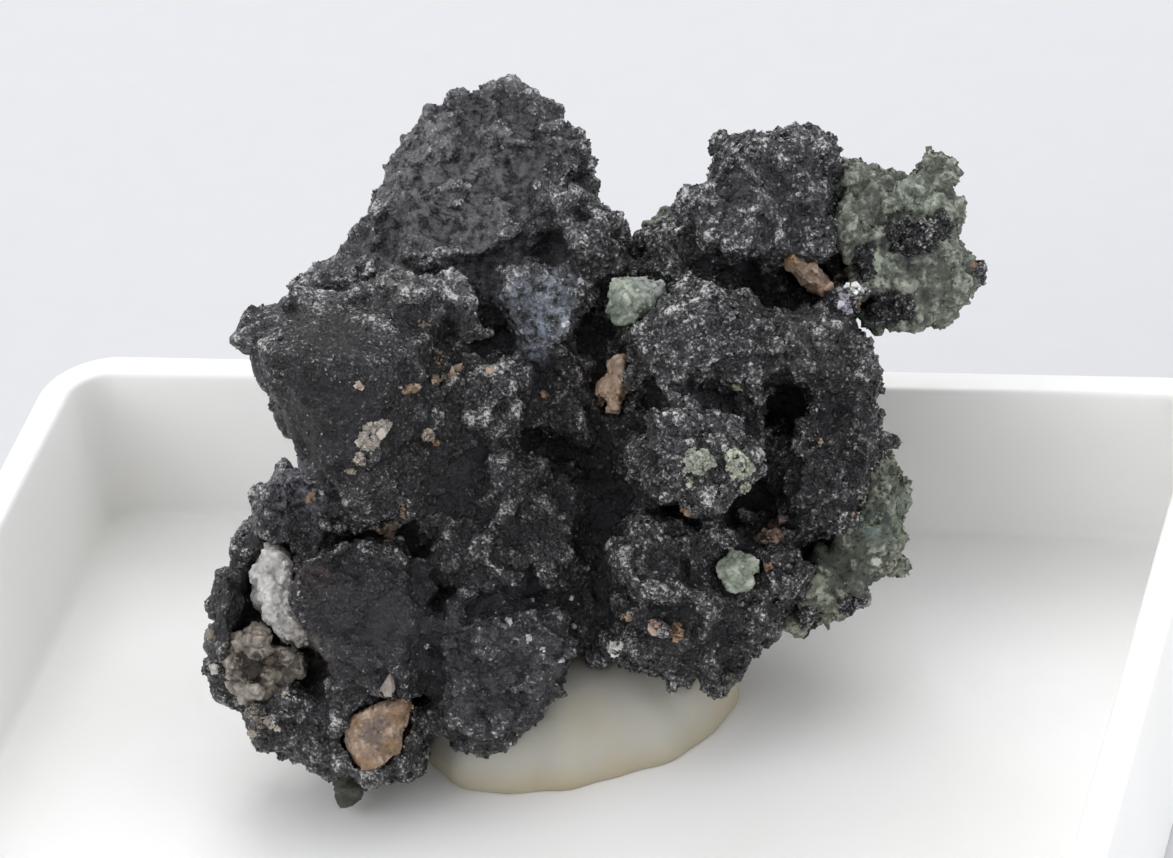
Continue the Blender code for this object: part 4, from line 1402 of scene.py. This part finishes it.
@dataclass
class GreenMatrix:
    """The green rock that the silver grew in, on its right side and behind it, with silver knobs on it."""

    upper: GreenMass = GreenMass("green_upper", "green_matrix_upper", 2600, 51, (
        Patch(10.2, 6.1, 0.95, "#2f312f", 0.85), Patch(9.4, 3.9, 0.8, "#2f312f", 0.85),
        Patch(11.0, 6.3, 0.5, "#2f312f", 0.8), Patch(10.6, 7.3, 0.8, "#9aa693", 0.4),
        Patch(9.2, 5.3, 0.6, "#a3ae9c", 0.6), Patch(12.5, 5.2, 0.3, "#8a6d50", 0.6)))
    lower: GreenMass = GreenMass("green_lower", "green_matrix_lower", 2400, 53, (
        Patch(9.3, -3.0, 0.8, "#59665f", 0.6), Patch(7.5, -3.8, 0.9, "#2b3024", 0.9),
        Patch(7.35, -4.9, 0.32, "#979d8b", 0.8), Patch(8.8, -5.0, 0.8, "#3a4038", 0.6),
        Patch(8.1, -4.5, 0.6, "#33382c", 0.8), Patch(10.0, -2.4, 0.7, "#6a7266", 0.6),
        Patch(9.25, -4.2, 0.16, "#c9cbc2", 0.9)))
    back: GreenMass = GreenMass("green_back", "green_matrix_back", 500, 57)
    foot: GreenMass = GreenMass("green_foot", "dark_green_foot", 120, 59, (
        Patch(-7.4, -11.5, 1.5, "#34362c", 1.0), Patch(-7.0, -11.7, 0.3, "#5d4a3e", 1.0)))
    upper_knobs: tuple[Inlay, ...] = (
        Inlay(10.2, 6.0, (0.95, 0.5), 330, BLACK_STAIN), Inlay(9.5, 3.8, (0.8, 0.45), 240, BLACK_STAIN),
        Inlay(12.5, 4.9, (0.3, 0.5), 120, BLACK_STAIN), Inlay(11.1, 6.4, (0.3, 0.4), 60, BLACK_STAIN),
        Inlay(8.7, 5.2, (0.3, 0.7), 80, BLACK_STAIN))
    lower_knobs: tuple[Inlay, ...] = (
        Inlay(8.3, -5.5, (0.45, 0.3), 80, BLACK_STAIN), Inlay(6.9, -5.9, (0.4, 0.3), 60, BLACK_STAIN))

    def build(self, silver: BVHTree, black: Coat) -> None:
        """Builds the green masses, their loose grains and the silver knobs.

        Args:
            silver: the silver's surface.
            black: the silver's finish.
        """
        pale, dark = CHLORITE.coat(), DARK_CHLORITE.coat()
        upper, lower = self.upper.build(silver, pale), self.lower.build(silver, dark)
        self.back.build(silver, pale)
        self.foot.build(silver, dark)
        for name, seed, knobs, surface in (("silver_knobs_upper", 61, self.upper_knobs, upper),
                                           ("silver_knobs_lower", 63, self.lower_knobs, lower)):
            Grit(name, GROWN, 0.14, 0.34, seed).inlay(knobs, surface, black)


@dataclass(frozen=True)
class Inclusion:
    """One crystal or crust in its socket, as a finely broken skin with small crumbs on it.

    `rough_mm` is how high its facets stand and `grow_mm` how far it fills its socket beyond its CAD solid.
    `reach_mm` is how near the silver it starts to reach for it, and how far it reaches.
    """

    name: str
    node: str
    mineral: GranularMineral
    rough_mm: float
    seed: int
    patches: tuple[Patch, ...] = ()
    grow_mm: float = 0.0
    pulls: tuple[Pull, ...] = ()
    reach_mm: tuple[float, float] = (0.45, 0.16)
    crumbs: int = 90
    face_mm: float = 0.06

    def build(self, silver: BVHTree, coat: Coat) -> None:
        """Builds the inclusion.

        Args:
            silver: the silver's surface.
            coat: the inclusion's finish.
        """
        skin = RockSkin(self.name, self.node, self.face_mm, self.grow_mm)
        skin.soften(2)
        if self.pulls:
            skin.pull(self.pulls)
        skin.grow_towards(silver, *self.reach_mm)
        skin.carve((Relief(ReliefKind.LUMPS, 0.9, self.rough_mm * 1.2, self.seed + 20),
                    Relief(ReliefKind.FACETS, 0.45, self.rough_mm * 1.3, self.seed),
                    Relief(ReliefKind.GRAINS, 0.18, min(self.rough_mm * 0.9, 0.045), self.seed + 10)))
        skin.finish(coat, self.patches, self.seed)
        grit = Grit(self.name + "_crumbs", CRUSHED, 0.06, 0.17, self.seed, 0.55)
        grit.scatter(skin.mesh, self.crumbs, coat, self.patches)


INCLUSIONS = (
    Inclusion("bead", "pale_green_bead", PREHNITE, 0.08, 71, (
        Patch(2.0, 4.4, 0.55, "#9ba19a", 0.9), Patch(0.8, 3.8, 0.5, "#6b7668", 0.8)),
        0.06, (Pull(0.2, 4.0, 0.45, (0.45, 0.0)),), crumbs=150),
    Inclusion("round_grain", "pale_green_round_grain", PREHNITE, 0.08, 72),
    Inclusion("calcite", "white_crystal", CALCITE, 0.09, 73, (Patch(-9.2, -6.3, 0.6, "#8b8783", 0.9),),
              0.12, crumbs=140),
    Inclusion("clay_crust", "tan_crust", CLAY, 0.15, 74, (
        Patch(-10.7, -7.6, 0.55, "#332e29", 0.95), Patch(-9.9, -7.4, 0.4, "#4f463e", 0.9),
        Patch(-10.8, -6.6, 0.45, "#9a9287", 0.9), Patch(-11.6, -7.4, 0.35, "#aaa297", 0.95),
        Patch(-10.9, -8.5, 0.4, "#8f8a82", 0.9)), crumbs=220),
    Inclusion("feldspar_left", "brown_crystal_left", IRON_STAINED, 0.05, 75, (
        Patch(-6.75, -9.6, 0.5, "#6c5f55", 0.9), Patch(-5.95, -9.0, 0.4, "#866b52", 0.9),
        Patch(-6.15, -10.1, 0.4, "#81684f", 0.9), Patch(-7.35, -9.3, 0.3, "#866b52", 0.9),
        Patch(-7.1, -10.7, 0.4, "#8a7058", 0.9)), crumbs=200),
    Inclusion("feldspar_right", "brown_crystal_right", IRON_STAINED, 0.08, 76, (
        Patch(6.3, 5.6, 0.5, "#ad8a66", 0.85), Patch(7.6, 4.4, 0.5, "#9c8170", 0.85)),
        -0.07, (Pull(6.5, 5.2, 0.4, (-0.08, 0.22)), Pull(7.6, 4.4, 0.4, (0.08, -0.1))), (0.3, 0.08)),
    Inclusion("feldspar_shard", "tan_shard_centre", IRON_STAINED, 0.09, 77, (
        Patch(0.75, 1.2, 0.8, "#a88f78", 0.8),),
        0.0, (Pull(1.0, 1.9, 0.30, (0.05, 0.35)), Pull(0.35, 0.8, 0.3, (0.32, 0.1))), (0.25, 0.08)),
)

SILVER_GRAINS = (
    (PREHNITE, Grit("prehnite_grains", CRUSHED, 0.06, 0.18, 81), (
        Inlay(3.5, -1.0, (0.55, 0.45), 260, "#9da192", 20), Inlay(3.25, -1.6, (0.16, 0.3), 22, "#a2a694"),
        Inlay(4.75, -1.15, (0.5, 0.55), 280, "#a2a694"), Inlay(4.9, -1.75, (0.2, 0.3), 24, "#a2a694"),
        Inlay(8.6, -2.2, (0.15, 0.15), 8, "#93a08d"), Inlay(4.45, -8.0, (0.4, 0.4), 60, "#4d5246"),
        Inlay(1.9, 4.6, (0.4, 0.25), 20, "#93a08d"), Inlay(1.0, 3.4, (0.25, 0.2), 14, "#93a08d"),
    )),
    (CLAY, Grit("clay_grains", CRUSHED, 0.06, 0.18, 83), (
        Inlay(-6.65, -0.1, (0.6, 0.32), 150, "#a29b93", 30), Inlay(-6.8, -0.45, (0.35, 0.25), 50, "#9a9389"),
        Inlay(-7.1, -0.95, (0.25, 0.22), 40, "#a39a90"), Inlay(-7.35, -1.25, (0.2, 0.2), 18, "#958c80"),
        Inlay(-4.95, -0.2, (0.32, 0.2), 40, "#a2968a", 30), Inlay(-4.7, -0.45, (0.14, 0.12), 8, "#8a7052"),
        Inlay(-5.5, 1.25, (0.28, 0.14), 18, "#83705c", 15), Inlay(-5.75, -2.5, (0.12, 0.4), 18, "#8a7663"),
        Inlay(-7.1, 1.3, (0.14, 0.1), 7, "#a89a8c"), Inlay(-5.3, 1.3, (0.15, 0.1), 7, "#a4917c"),
        Inlay(-4.3, 1.65, (0.45, 0.12), 24, "#9c8c7c", 22), Inlay(-3.0, 1.9, (0.1, 0.1), 5, "#b9ab9c"),
        Inlay(-6.2, -3.05, (0.4, 0.14), 34, "#9f8f7e", 10), Inlay(-10.9, -8.5, (0.15, 0.15), 9, "#c2bab0"),
        Inlay(-9.4, -8.3, (0.15, 0.12), 8, "#b5aca0"), Inlay(-9.7, -9.4, (0.16, 0.14), 9, "#b5aca0"),
        Inlay(-10.2, -9.0, (0.6, 0.3), 40, "#8b847a", -40), Inlay(1.3, -5.9, (0.2, 0.15), 12, "#b39c84"),
        Inlay(2.1, -6.1, (0.18, 0.15), 11, "#bb9f90"), Inlay(-10.3, -7.2, (0.9, 0.5), 90, "#8d8378"),
        Inlay(-8.65, -2.1, (0.18, 0.22), 12, "#9a8067"), Inlay(7.3, -0.4, (0.1, 0.1), 5, "#a08c78"),
        Inlay(4.7, 1.3, (0.15, 0.12), 8, "#8f9079"), Inlay(5.8, 1.2, (0.12, 0.12), 6, "#8f8a75"),
        Inlay(-5.0, 3.2, (0.5, 0.15), 10, "#93887b", -20),
    )),
    (IRON_STAINED, Grit("iron_stained_grains", CRUSHED, 0.06, 0.20, 85), (
        Inlay(0.75, 1.3, (0.35, 0.8), 60, "#97836f", -15), Inlay(5.9, -3.1, (0.55, 0.35), 60, "#80695b", 35),
        Inlay(5.4, -3.4, (0.35, 0.2), 24, "#7c675a"), Inlay(5.9, -3.5, (0.16, 0.14), 10, "#8a7360"),
        Inlay(5.65, -4.3, (0.14, 0.12), 8, "#7a604c"), Inlay(3.1, -2.5, (0.12, 0.12), 6, "#8a6b4c"),
        Inlay(8.35, -2.7, (0.12, 0.12), 6, "#9a7d60"), Inlay(2.9, -6.35, (0.28, 0.32), 40, "#8d6f58", 60),
        Inlay(-1.3, 1.1, (0.15, 0.15), 8, "#8a7058"), Inlay(8.6, 3.9, (0.1, 0.1), 5, "#b0764b"),
        Inlay(-6.7, -9.6, (0.6, 0.8), 80, "#857364", -30), Inlay(7.2, 4.8, (0.4, 0.25), 26, "#98816f", -40),
        Inlay(-4.6, 2.2, (0.3, 0.2), 8, "#7a6654"),
    )),
    (IRON_STAINED, Grit("iron_stained_chips", BROKEN, 0.22, 0.42, 91, 0.3), (
        Inlay(5.9, -3.05, (0.4, 0.3), 9, "#8b776c", 35), Inlay(5.35, -3.4, (0.3, 0.16), 5, "#8f7c70"),
        Inlay(2.95, -6.35, (0.1, 0.28), 2, "#8f6f57", -30), Inlay(1.3, -5.95, (0.14, 0.08), 1, "#a89880"),
        Inlay(2.1, -6.2, (0.16, 0.08), 2, "#b09c8c", -20), Inlay(5.7, -4.3, (0.05, 0.05), 1, "#86684e"),
        Inlay(3.15, -2.5, (0.08, 0.05), 1, "#806a58"), Inlay(6.15, -2.8, (0.12, 0.12), 2, "#9b8880"),
        Inlay(-8.65, -2.1, (0.08, 0.14), 1, "#8f755c"), Inlay(-6.2, -3.2, (0.35, 0.06), 2, "#96806a", 15),
    )),
    (CLAY, Grit("clay_chips", BROKEN, 0.20, 0.40, 93, 0.2), (
        Inlay(-6.6, -0.1, (0.5, 0.2), 2, "#b5aea5", 25), Inlay(-7.15, 1.3, (0.06, 0.12), 1, "#9b8d80"),
        Inlay(-4.95, -0.2, (0.16, 0.08), 1, "#a0958a", 30), Inlay(-4.05, 1.8, (0.2, 0.08), 1, "#a4917e", 20),
        Inlay(-4.7, 1.5, (0.16, 0.08), 1, "#94836f", 30), Inlay(-3.0, 1.85, (0.06, 0.06), 1, "#a89686"),
        Inlay(-10.3, -9.4, (0.4, 0.2), 2, "#8f887e", -35), Inlay(-11.7, -6.6, (0.1, 0.3), 1, "#777066"),
        Inlay(-9.2, -8.0, (0.3, 0.3), 1, "#867e75"),
    )),
    (PREHNITE, Grit("prehnite_chips", BROKEN, 0.18, 0.36, 97, 0.3), (
        Inlay(3.3, -1.2, (0.15, 0.35), 2, "#9a9f8e"), Inlay(3.6, -0.85, (0.3, 0.12), 1, "#9fa493", 10),
        Inlay(4.7, -1.1, (0.4, 0.3), 2, "#a3a896"), Inlay(2.0, 4.6, (0.15, 0.12), 1, "#9ba594"),
    )),
    (CALCITE, Grit("calcite_chips", BROKEN, 0.20, 0.40, 99, 0.3), (
        Inlay(8.3, 4.55, (0.2, 0.24), 5, "#f2f2f1"), Inlay(8.05, 3.95, (0.22, 0.3), 5, "#aaa7b3"),
        Inlay(0.95, -6.75, (0.25, 0.15), 3, "#d4d3cf"), Inlay(-0.4, -6.2, (0.1, 0.1), 1, "#a9a9aa"),
        Inlay(-0.9, -5.9, (0.1, 0.1), 1, "#a0a0a2"),
    )),
    (CLAY, Grit("clay_flake", BROKEN, 0.8, 1.0, 95, 0.35), (Inlay(-6.1, -7.9, (0.08, 0.16), 1, "#8d857f"),)),
    (CALCITE, Grit("calcite_grains", CRUSHED, 0.06, 0.20, 87), (
        Inlay(8.4, 4.5, (0.2, 0.24), 24, "#dcdcda"), Inlay(8.1, 3.8, (0.2, 0.2), 14, "#a9a6b3"),
        Inlay(0.85, -6.8, (0.3, 0.25), 30, "#d4d3cf"),
        *(Inlay(x, y, (0.1, 0.1), 4, "#c9c9c9") for x, y in (
            (-1.8, -6.5), (-1.4, -6.9), (-2.4, -6.0), (-0.5, -5.2), (-0.8, -7.2), (-4.8, -7.6),
            (-5.0, -6.8))),
        Inlay(-11.6, -7.4, (0.2, 0.2), 12, "#d0ccc4"), Inlay(-9.8, -5.4, (0.4, 1.1), 40, "#c9c7c3", 20),
        Inlay(-3.7, 7.6, (0.12, 0.12), 5, "#b9b9ba"), Inlay(-4.0, 7.1, (0.12, 0.12), 5, "#b9b9ba"),
        Inlay(-0.6, 3.3, (0.15, 0.1), 5, "#c4c9d2"), Inlay(-0.2, 4.6, (0.12, 0.1), 4, "#c4c9d2"),
    )),
)


@dataclass
class Inclusions:
    """The crystals and crusts in sockets in the silver, and the small coloured grains on its face."""

    minerals: tuple[GranularMineral, ...] = (PREHNITE, CALCITE, CLAY, IRON_STAINED)
    socketed: tuple[Inclusion, ...] = INCLUSIONS
    grains: tuple[tuple[GranularMineral, Grit, tuple[Inlay, ...]], ...] = SILVER_GRAINS

    def build(self, silver: BVHTree) -> None:
        """Builds each inclusion and each kind of grain.

        Args:
            silver: the silver's surface.
        """
        coats = {mineral: mineral.coat() for mineral in self.minerals}
        for inclusion in self.socketed:
            inclusion.build(silver, coats[inclusion.mineral])
        for mineral, grit, inlays in self.grains:
            grit.inlay(inlays, silver, coats[mineral])


@dataclass
class MountingTack:
    """The pressed blob that holds the rock to the tray's floor."""

    centre: tuple[float, float] = (-0.1, 6.1)
    radius: float = 4.9
    floor: float = 1.0
    height: float = 3.1
    clearance: float = 0.03
    overlap: float = 0.12
    tuck: float = 0.12
    squareness: float = 0.55
    rings: int = 26
    sides: int = 120

    def edge(self, angle: np.ndarray) -> np.ndarray:
        """The blob's uneven radius at each angle, in millimetres."""
        uneven = 1 + 0.07 * np.sin(2 * angle + 0.6) + 0.04 * np.sin(3 * angle + 2.0)
        return self.radius * (uneven + 0.012 * np.sin(9 * angle + 1.0) + 0.008 * np.sin(17 * angle))

    def build(self, silver: BVHTree) -> None:
        """Builds the blob up to the rock's underside.

        Args:
            silver: the silver's surface.
        """
        angle = np.linspace(0, 2 * math.pi, self.sides, endpoint=False)
        reach, quarter, middle = self.edge(angle), math.pi / 2, np.array(self.centre)
        rings, edges = [], []
        for number in range(self.rings):
            turn = quarter * number / (self.rings - 1) * (1 + self.tuck) - self.tuck * quarter
            bent = min(max(turn, 0.0), quarter)
            share = max(math.cos(bent), 0.0) ** self.squareness if turn > 0 else 1.0 + 0.10 * turn
            rise = math.sin(bent) ** 1.1
            ring = np.stack([
                self.centre[0] + reach * share * np.cos(angle),
                self.centre[1] + reach * share * np.sin(angle),
                np.full(self.sides, self.floor + self.clearance) + self.height * rise,
            ], axis=1)
            if number == self.rings - 1:
                ring[:, :2] = middle + (ring[:, :2] - middle) * 0.02
            for point in ring:
                below = Vector((point[0], point[1], self.floor))
                hit, _, _, apart = silver.ray_cast(below, Vector((0, 0, 1)))
                if hit is not None and point[2] > self.floor + apart + self.overlap:
                    point[2] = self.floor + apart + self.overlap
            rings.append(ring)
            edges.append(np.full(self.sides, max(0.0, 0.7 - rise * 2.2)))
        mesh = ring_mesh("tack", rings)
        paint(mesh, "edge", np.concatenate(edges))
        place_piece("tack", mesh, PressedTack().coat(), node="mounting_tack")


@dataclass
class DisplayTray:
    """The shallow moulded tray."""

    width: float = 41.0
    depth: float = 34.0
    height: float = 6.8
    floor: float = 1.0
    wall: float = 1.1
    draft: float = 0.25
    corner: float = 2.4
    least_corner: float = 0.4
    rounding: float = 0.22
    fillet: float = 0.5
    corner_steps: int = 18
    round_steps: int = 5
    sharp_deg: float = 40.0

    def ring(self, drawn_in: float, height: float) -> np.ndarray:
        """A rounded rectangle at a height.

        Args:
            drawn_in: how far it is drawn in from the rim's outer edge, in millimetres.
            height: its height above the ground, in millimetres.

        Returns:
            Its points, anticlockwise from above.
        """
        radius = max(self.corner - drawn_in, self.least_corner)
        half = np.array((self.width / 2 - drawn_in - radius, self.depth / 2 - drawn_in - radius))
        points = []
        for quarter, side in enumerate(((1, 1), (-1, 1), (-1, -1), (1, -1))):
            for step in range(self.corner_steps + 1):
                angle = math.pi / 2 * (quarter + step / self.corner_steps)
                across = half * np.array(side) + radius * np.array((math.cos(angle), math.sin(angle)))
                points.append((across[0], across[1], height))
        return np.array(points)

    def arc(self, start: tuple[float, float], end: tuple[float, float], bulge: tuple[float, float]) -> list:
        """A quarter-round edge between two points of the wall's section.

        Args:
            start: how far the edge's start is drawn in, and its height.
            end: the same for its end.
            bulge: the section's corner that the round stands in for.

        Returns:
            Points along the edge.
        """
        shares = [step / self.round_steps for step in range(self.round_steps + 1)]
        return [tuple((1 - t) ** 2 * a + 2 * t * (1 - t) * c + t * t * b
                      for a, c, b in zip(start, bulge, end)) for t in shares]

    def build(self) -> None:
        """Builds the tray in place of its node."""
        r, inner = self.rounding, self.wall + self.draft
        slope = self.draft * (1 - self.fillet / (self.height - self.floor))
        section = (
            self.arc((self.draft + r, 0), (self.draft, r), (self.draft, 0))
            + self.arc((0, self.height - r), (r, self.height), (0, self.height))
            + self.arc((self.wall - r, self.height), (self.wall, self.height - r), (self.wall, self.height))
            + self.arc((self.wall + slope, self.floor + self.fillet), (inner + self.fillet, self.floor),
                       (inner, self.floor))
        )
        mesh = ring_mesh("tray", [self.ring(drawn_in, height) for drawn_in, height in section])
        place_piece("tray", mesh, MouldedPolystyrene().coat(), node="display_tray")
        mesh.set_sharp_from_angle(angle=math.radians(self.sharp_deg))


@dataclass
class Studio:
    """A pale floor, soft light and the camera."""

    lens_mm: float = 196.4
    sensor_mm: float = 36.0
    nearest: float = 0.005
    floor_size: float = 1.6
    floor_colours: tuple[str, str] = ("#d6d7d9", "#d2d4d6")
    sky_colour: str = "#f6f6f9"
    sky_strengths: tuple[float, float] = (0.85, 2.3)
    near_side: tuple[float, float, float] = (0.33, -0.93, 0.15)
    shaded_place: tuple[float, float, float] = (0.26, -0.72, 0.64)
    shaded_share: float = 0.20
    softbox_size: float = 0.20

    def build(self) -> None:
        """Builds the floor, the lights and the camera."""
        self.floor()
        self.sky()
        self.softbox("overhead_softbox", (-0.07, 0.27, 0.33), 0.32)
        self.softbox("left_softbox", (-0.42, -0.18, 0.24), 0.16)
        self.camera()

    def floor(self) -> None:
        """Lays the pale floor just under the tray."""
        half = self.floor_size / 2
        points = np.array([(-half, -half, 0), (half, -half, 0), (half, half, 0), (-half, half, 0)]) / MM
        mesh = triangle_mesh("floor", points, np.array([(0, 1, 2), (0, 2, 3)]))
        s = Surface("matt white card")
        first, second = map(linear, self.floor_colours)
        fibres = s.add("Mix", {0: s.blotches(1.5, 3.0, 0.2, 0.9), 6: first, 7: second}, 2, data_type="RGBA")
        made = show("floor", mesh, s.finish({"Base Color": fibres, "Roughness": 0.9}), smooth=False)
        made.location.z = -0.02 * MM

    def sky(self) -> None:
        """Sets the white surroundings, brightest low in front and dark where the viewer stands."""
        world = bpy.context.scene.world = bpy.data.worlds.new("white studio")
        s = Nodes(world)
        way = s.add("TexCoord", {}, "Generated")
        towards, near = (s.add("VectorMath", {0: way, 1: side}, "Value", operation="DOT_PRODUCT")
                         for side in (self.near_side, self.shaded_place))
        strength = s.add("MapRange", {"Value": towards, "From Min": -0.5, "From Max": 0.9,
                                      "To Min": self.sky_strengths[0], "To Max": self.sky_strengths[1]})
        shaded = s.add("MapRange", {"Value": near, "From Min": 0.70, "From Max": 0.95, "To Min": 1.0,
                                    "To Max": self.shaded_share}, interpolation_type="SMOOTHSTEP")
        s.join(world.node_tree.nodes["Background"], {
            "Color": linear(self.sky_colour),
            "Strength": s.add("Math", {0: strength, 1: shaded}, operation="MULTIPLY")})

    def softbox(self, name: str, place: tuple[float, float, float], power: float) -> None:
        """Adds one square softbox that looks at the specimen.

        Args:
            name: the lamp's name.
            place: where it hangs, in metres.
            power: its power, in watts.
        """
        light = bpy.data.lights.new(name, "AREA")
        light.size = self.softbox_size
        light.energy = power
        made = link(name, light)
        made.location = place
        aim = Vector(DISPLAY.origin_mm) * MM - made.location
        made.rotation_euler = aim.to_track_quat("-Z", "Y").to_euler()

    def camera(self) -> None:
        """Places the camera square in front of the display face."""
        lens = bpy.data.cameras.new("camera")
        lens.lens = self.lens_mm
        lens.sensor_width = self.sensor_mm
        lens.clip_start = self.nearest
        made = bpy.context.scene.camera = link("camera", lens)
        made.matrix_world = Matrix.Translation(DISPLAY.eye() * MM) @ DISPLAY.turn().to_4x4()


def corners(box: tuple[Vector, Vector]) -> list[list[float]]:
    """A box's corners as plain lists of numbers."""
    return [list(corner) for corner in box]


def main() -> None:
    """Builds the specimen, the tray and the studio."""
    logging.basicConfig(level=logging.INFO, format="%(message)s")
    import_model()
    bpy.context.scene.view_settings.view_transform = "Standard"
    black = TarnishedSilver().coat()
    silver = SilverMass().build(black).tree()
    GreenMatrix().build(silver, black)
    Inclusions().build(silver)
    MountingTack().build(silver)
    DisplayTray().build()
    Studio().build()


if __name__ == "__main__":
    main()
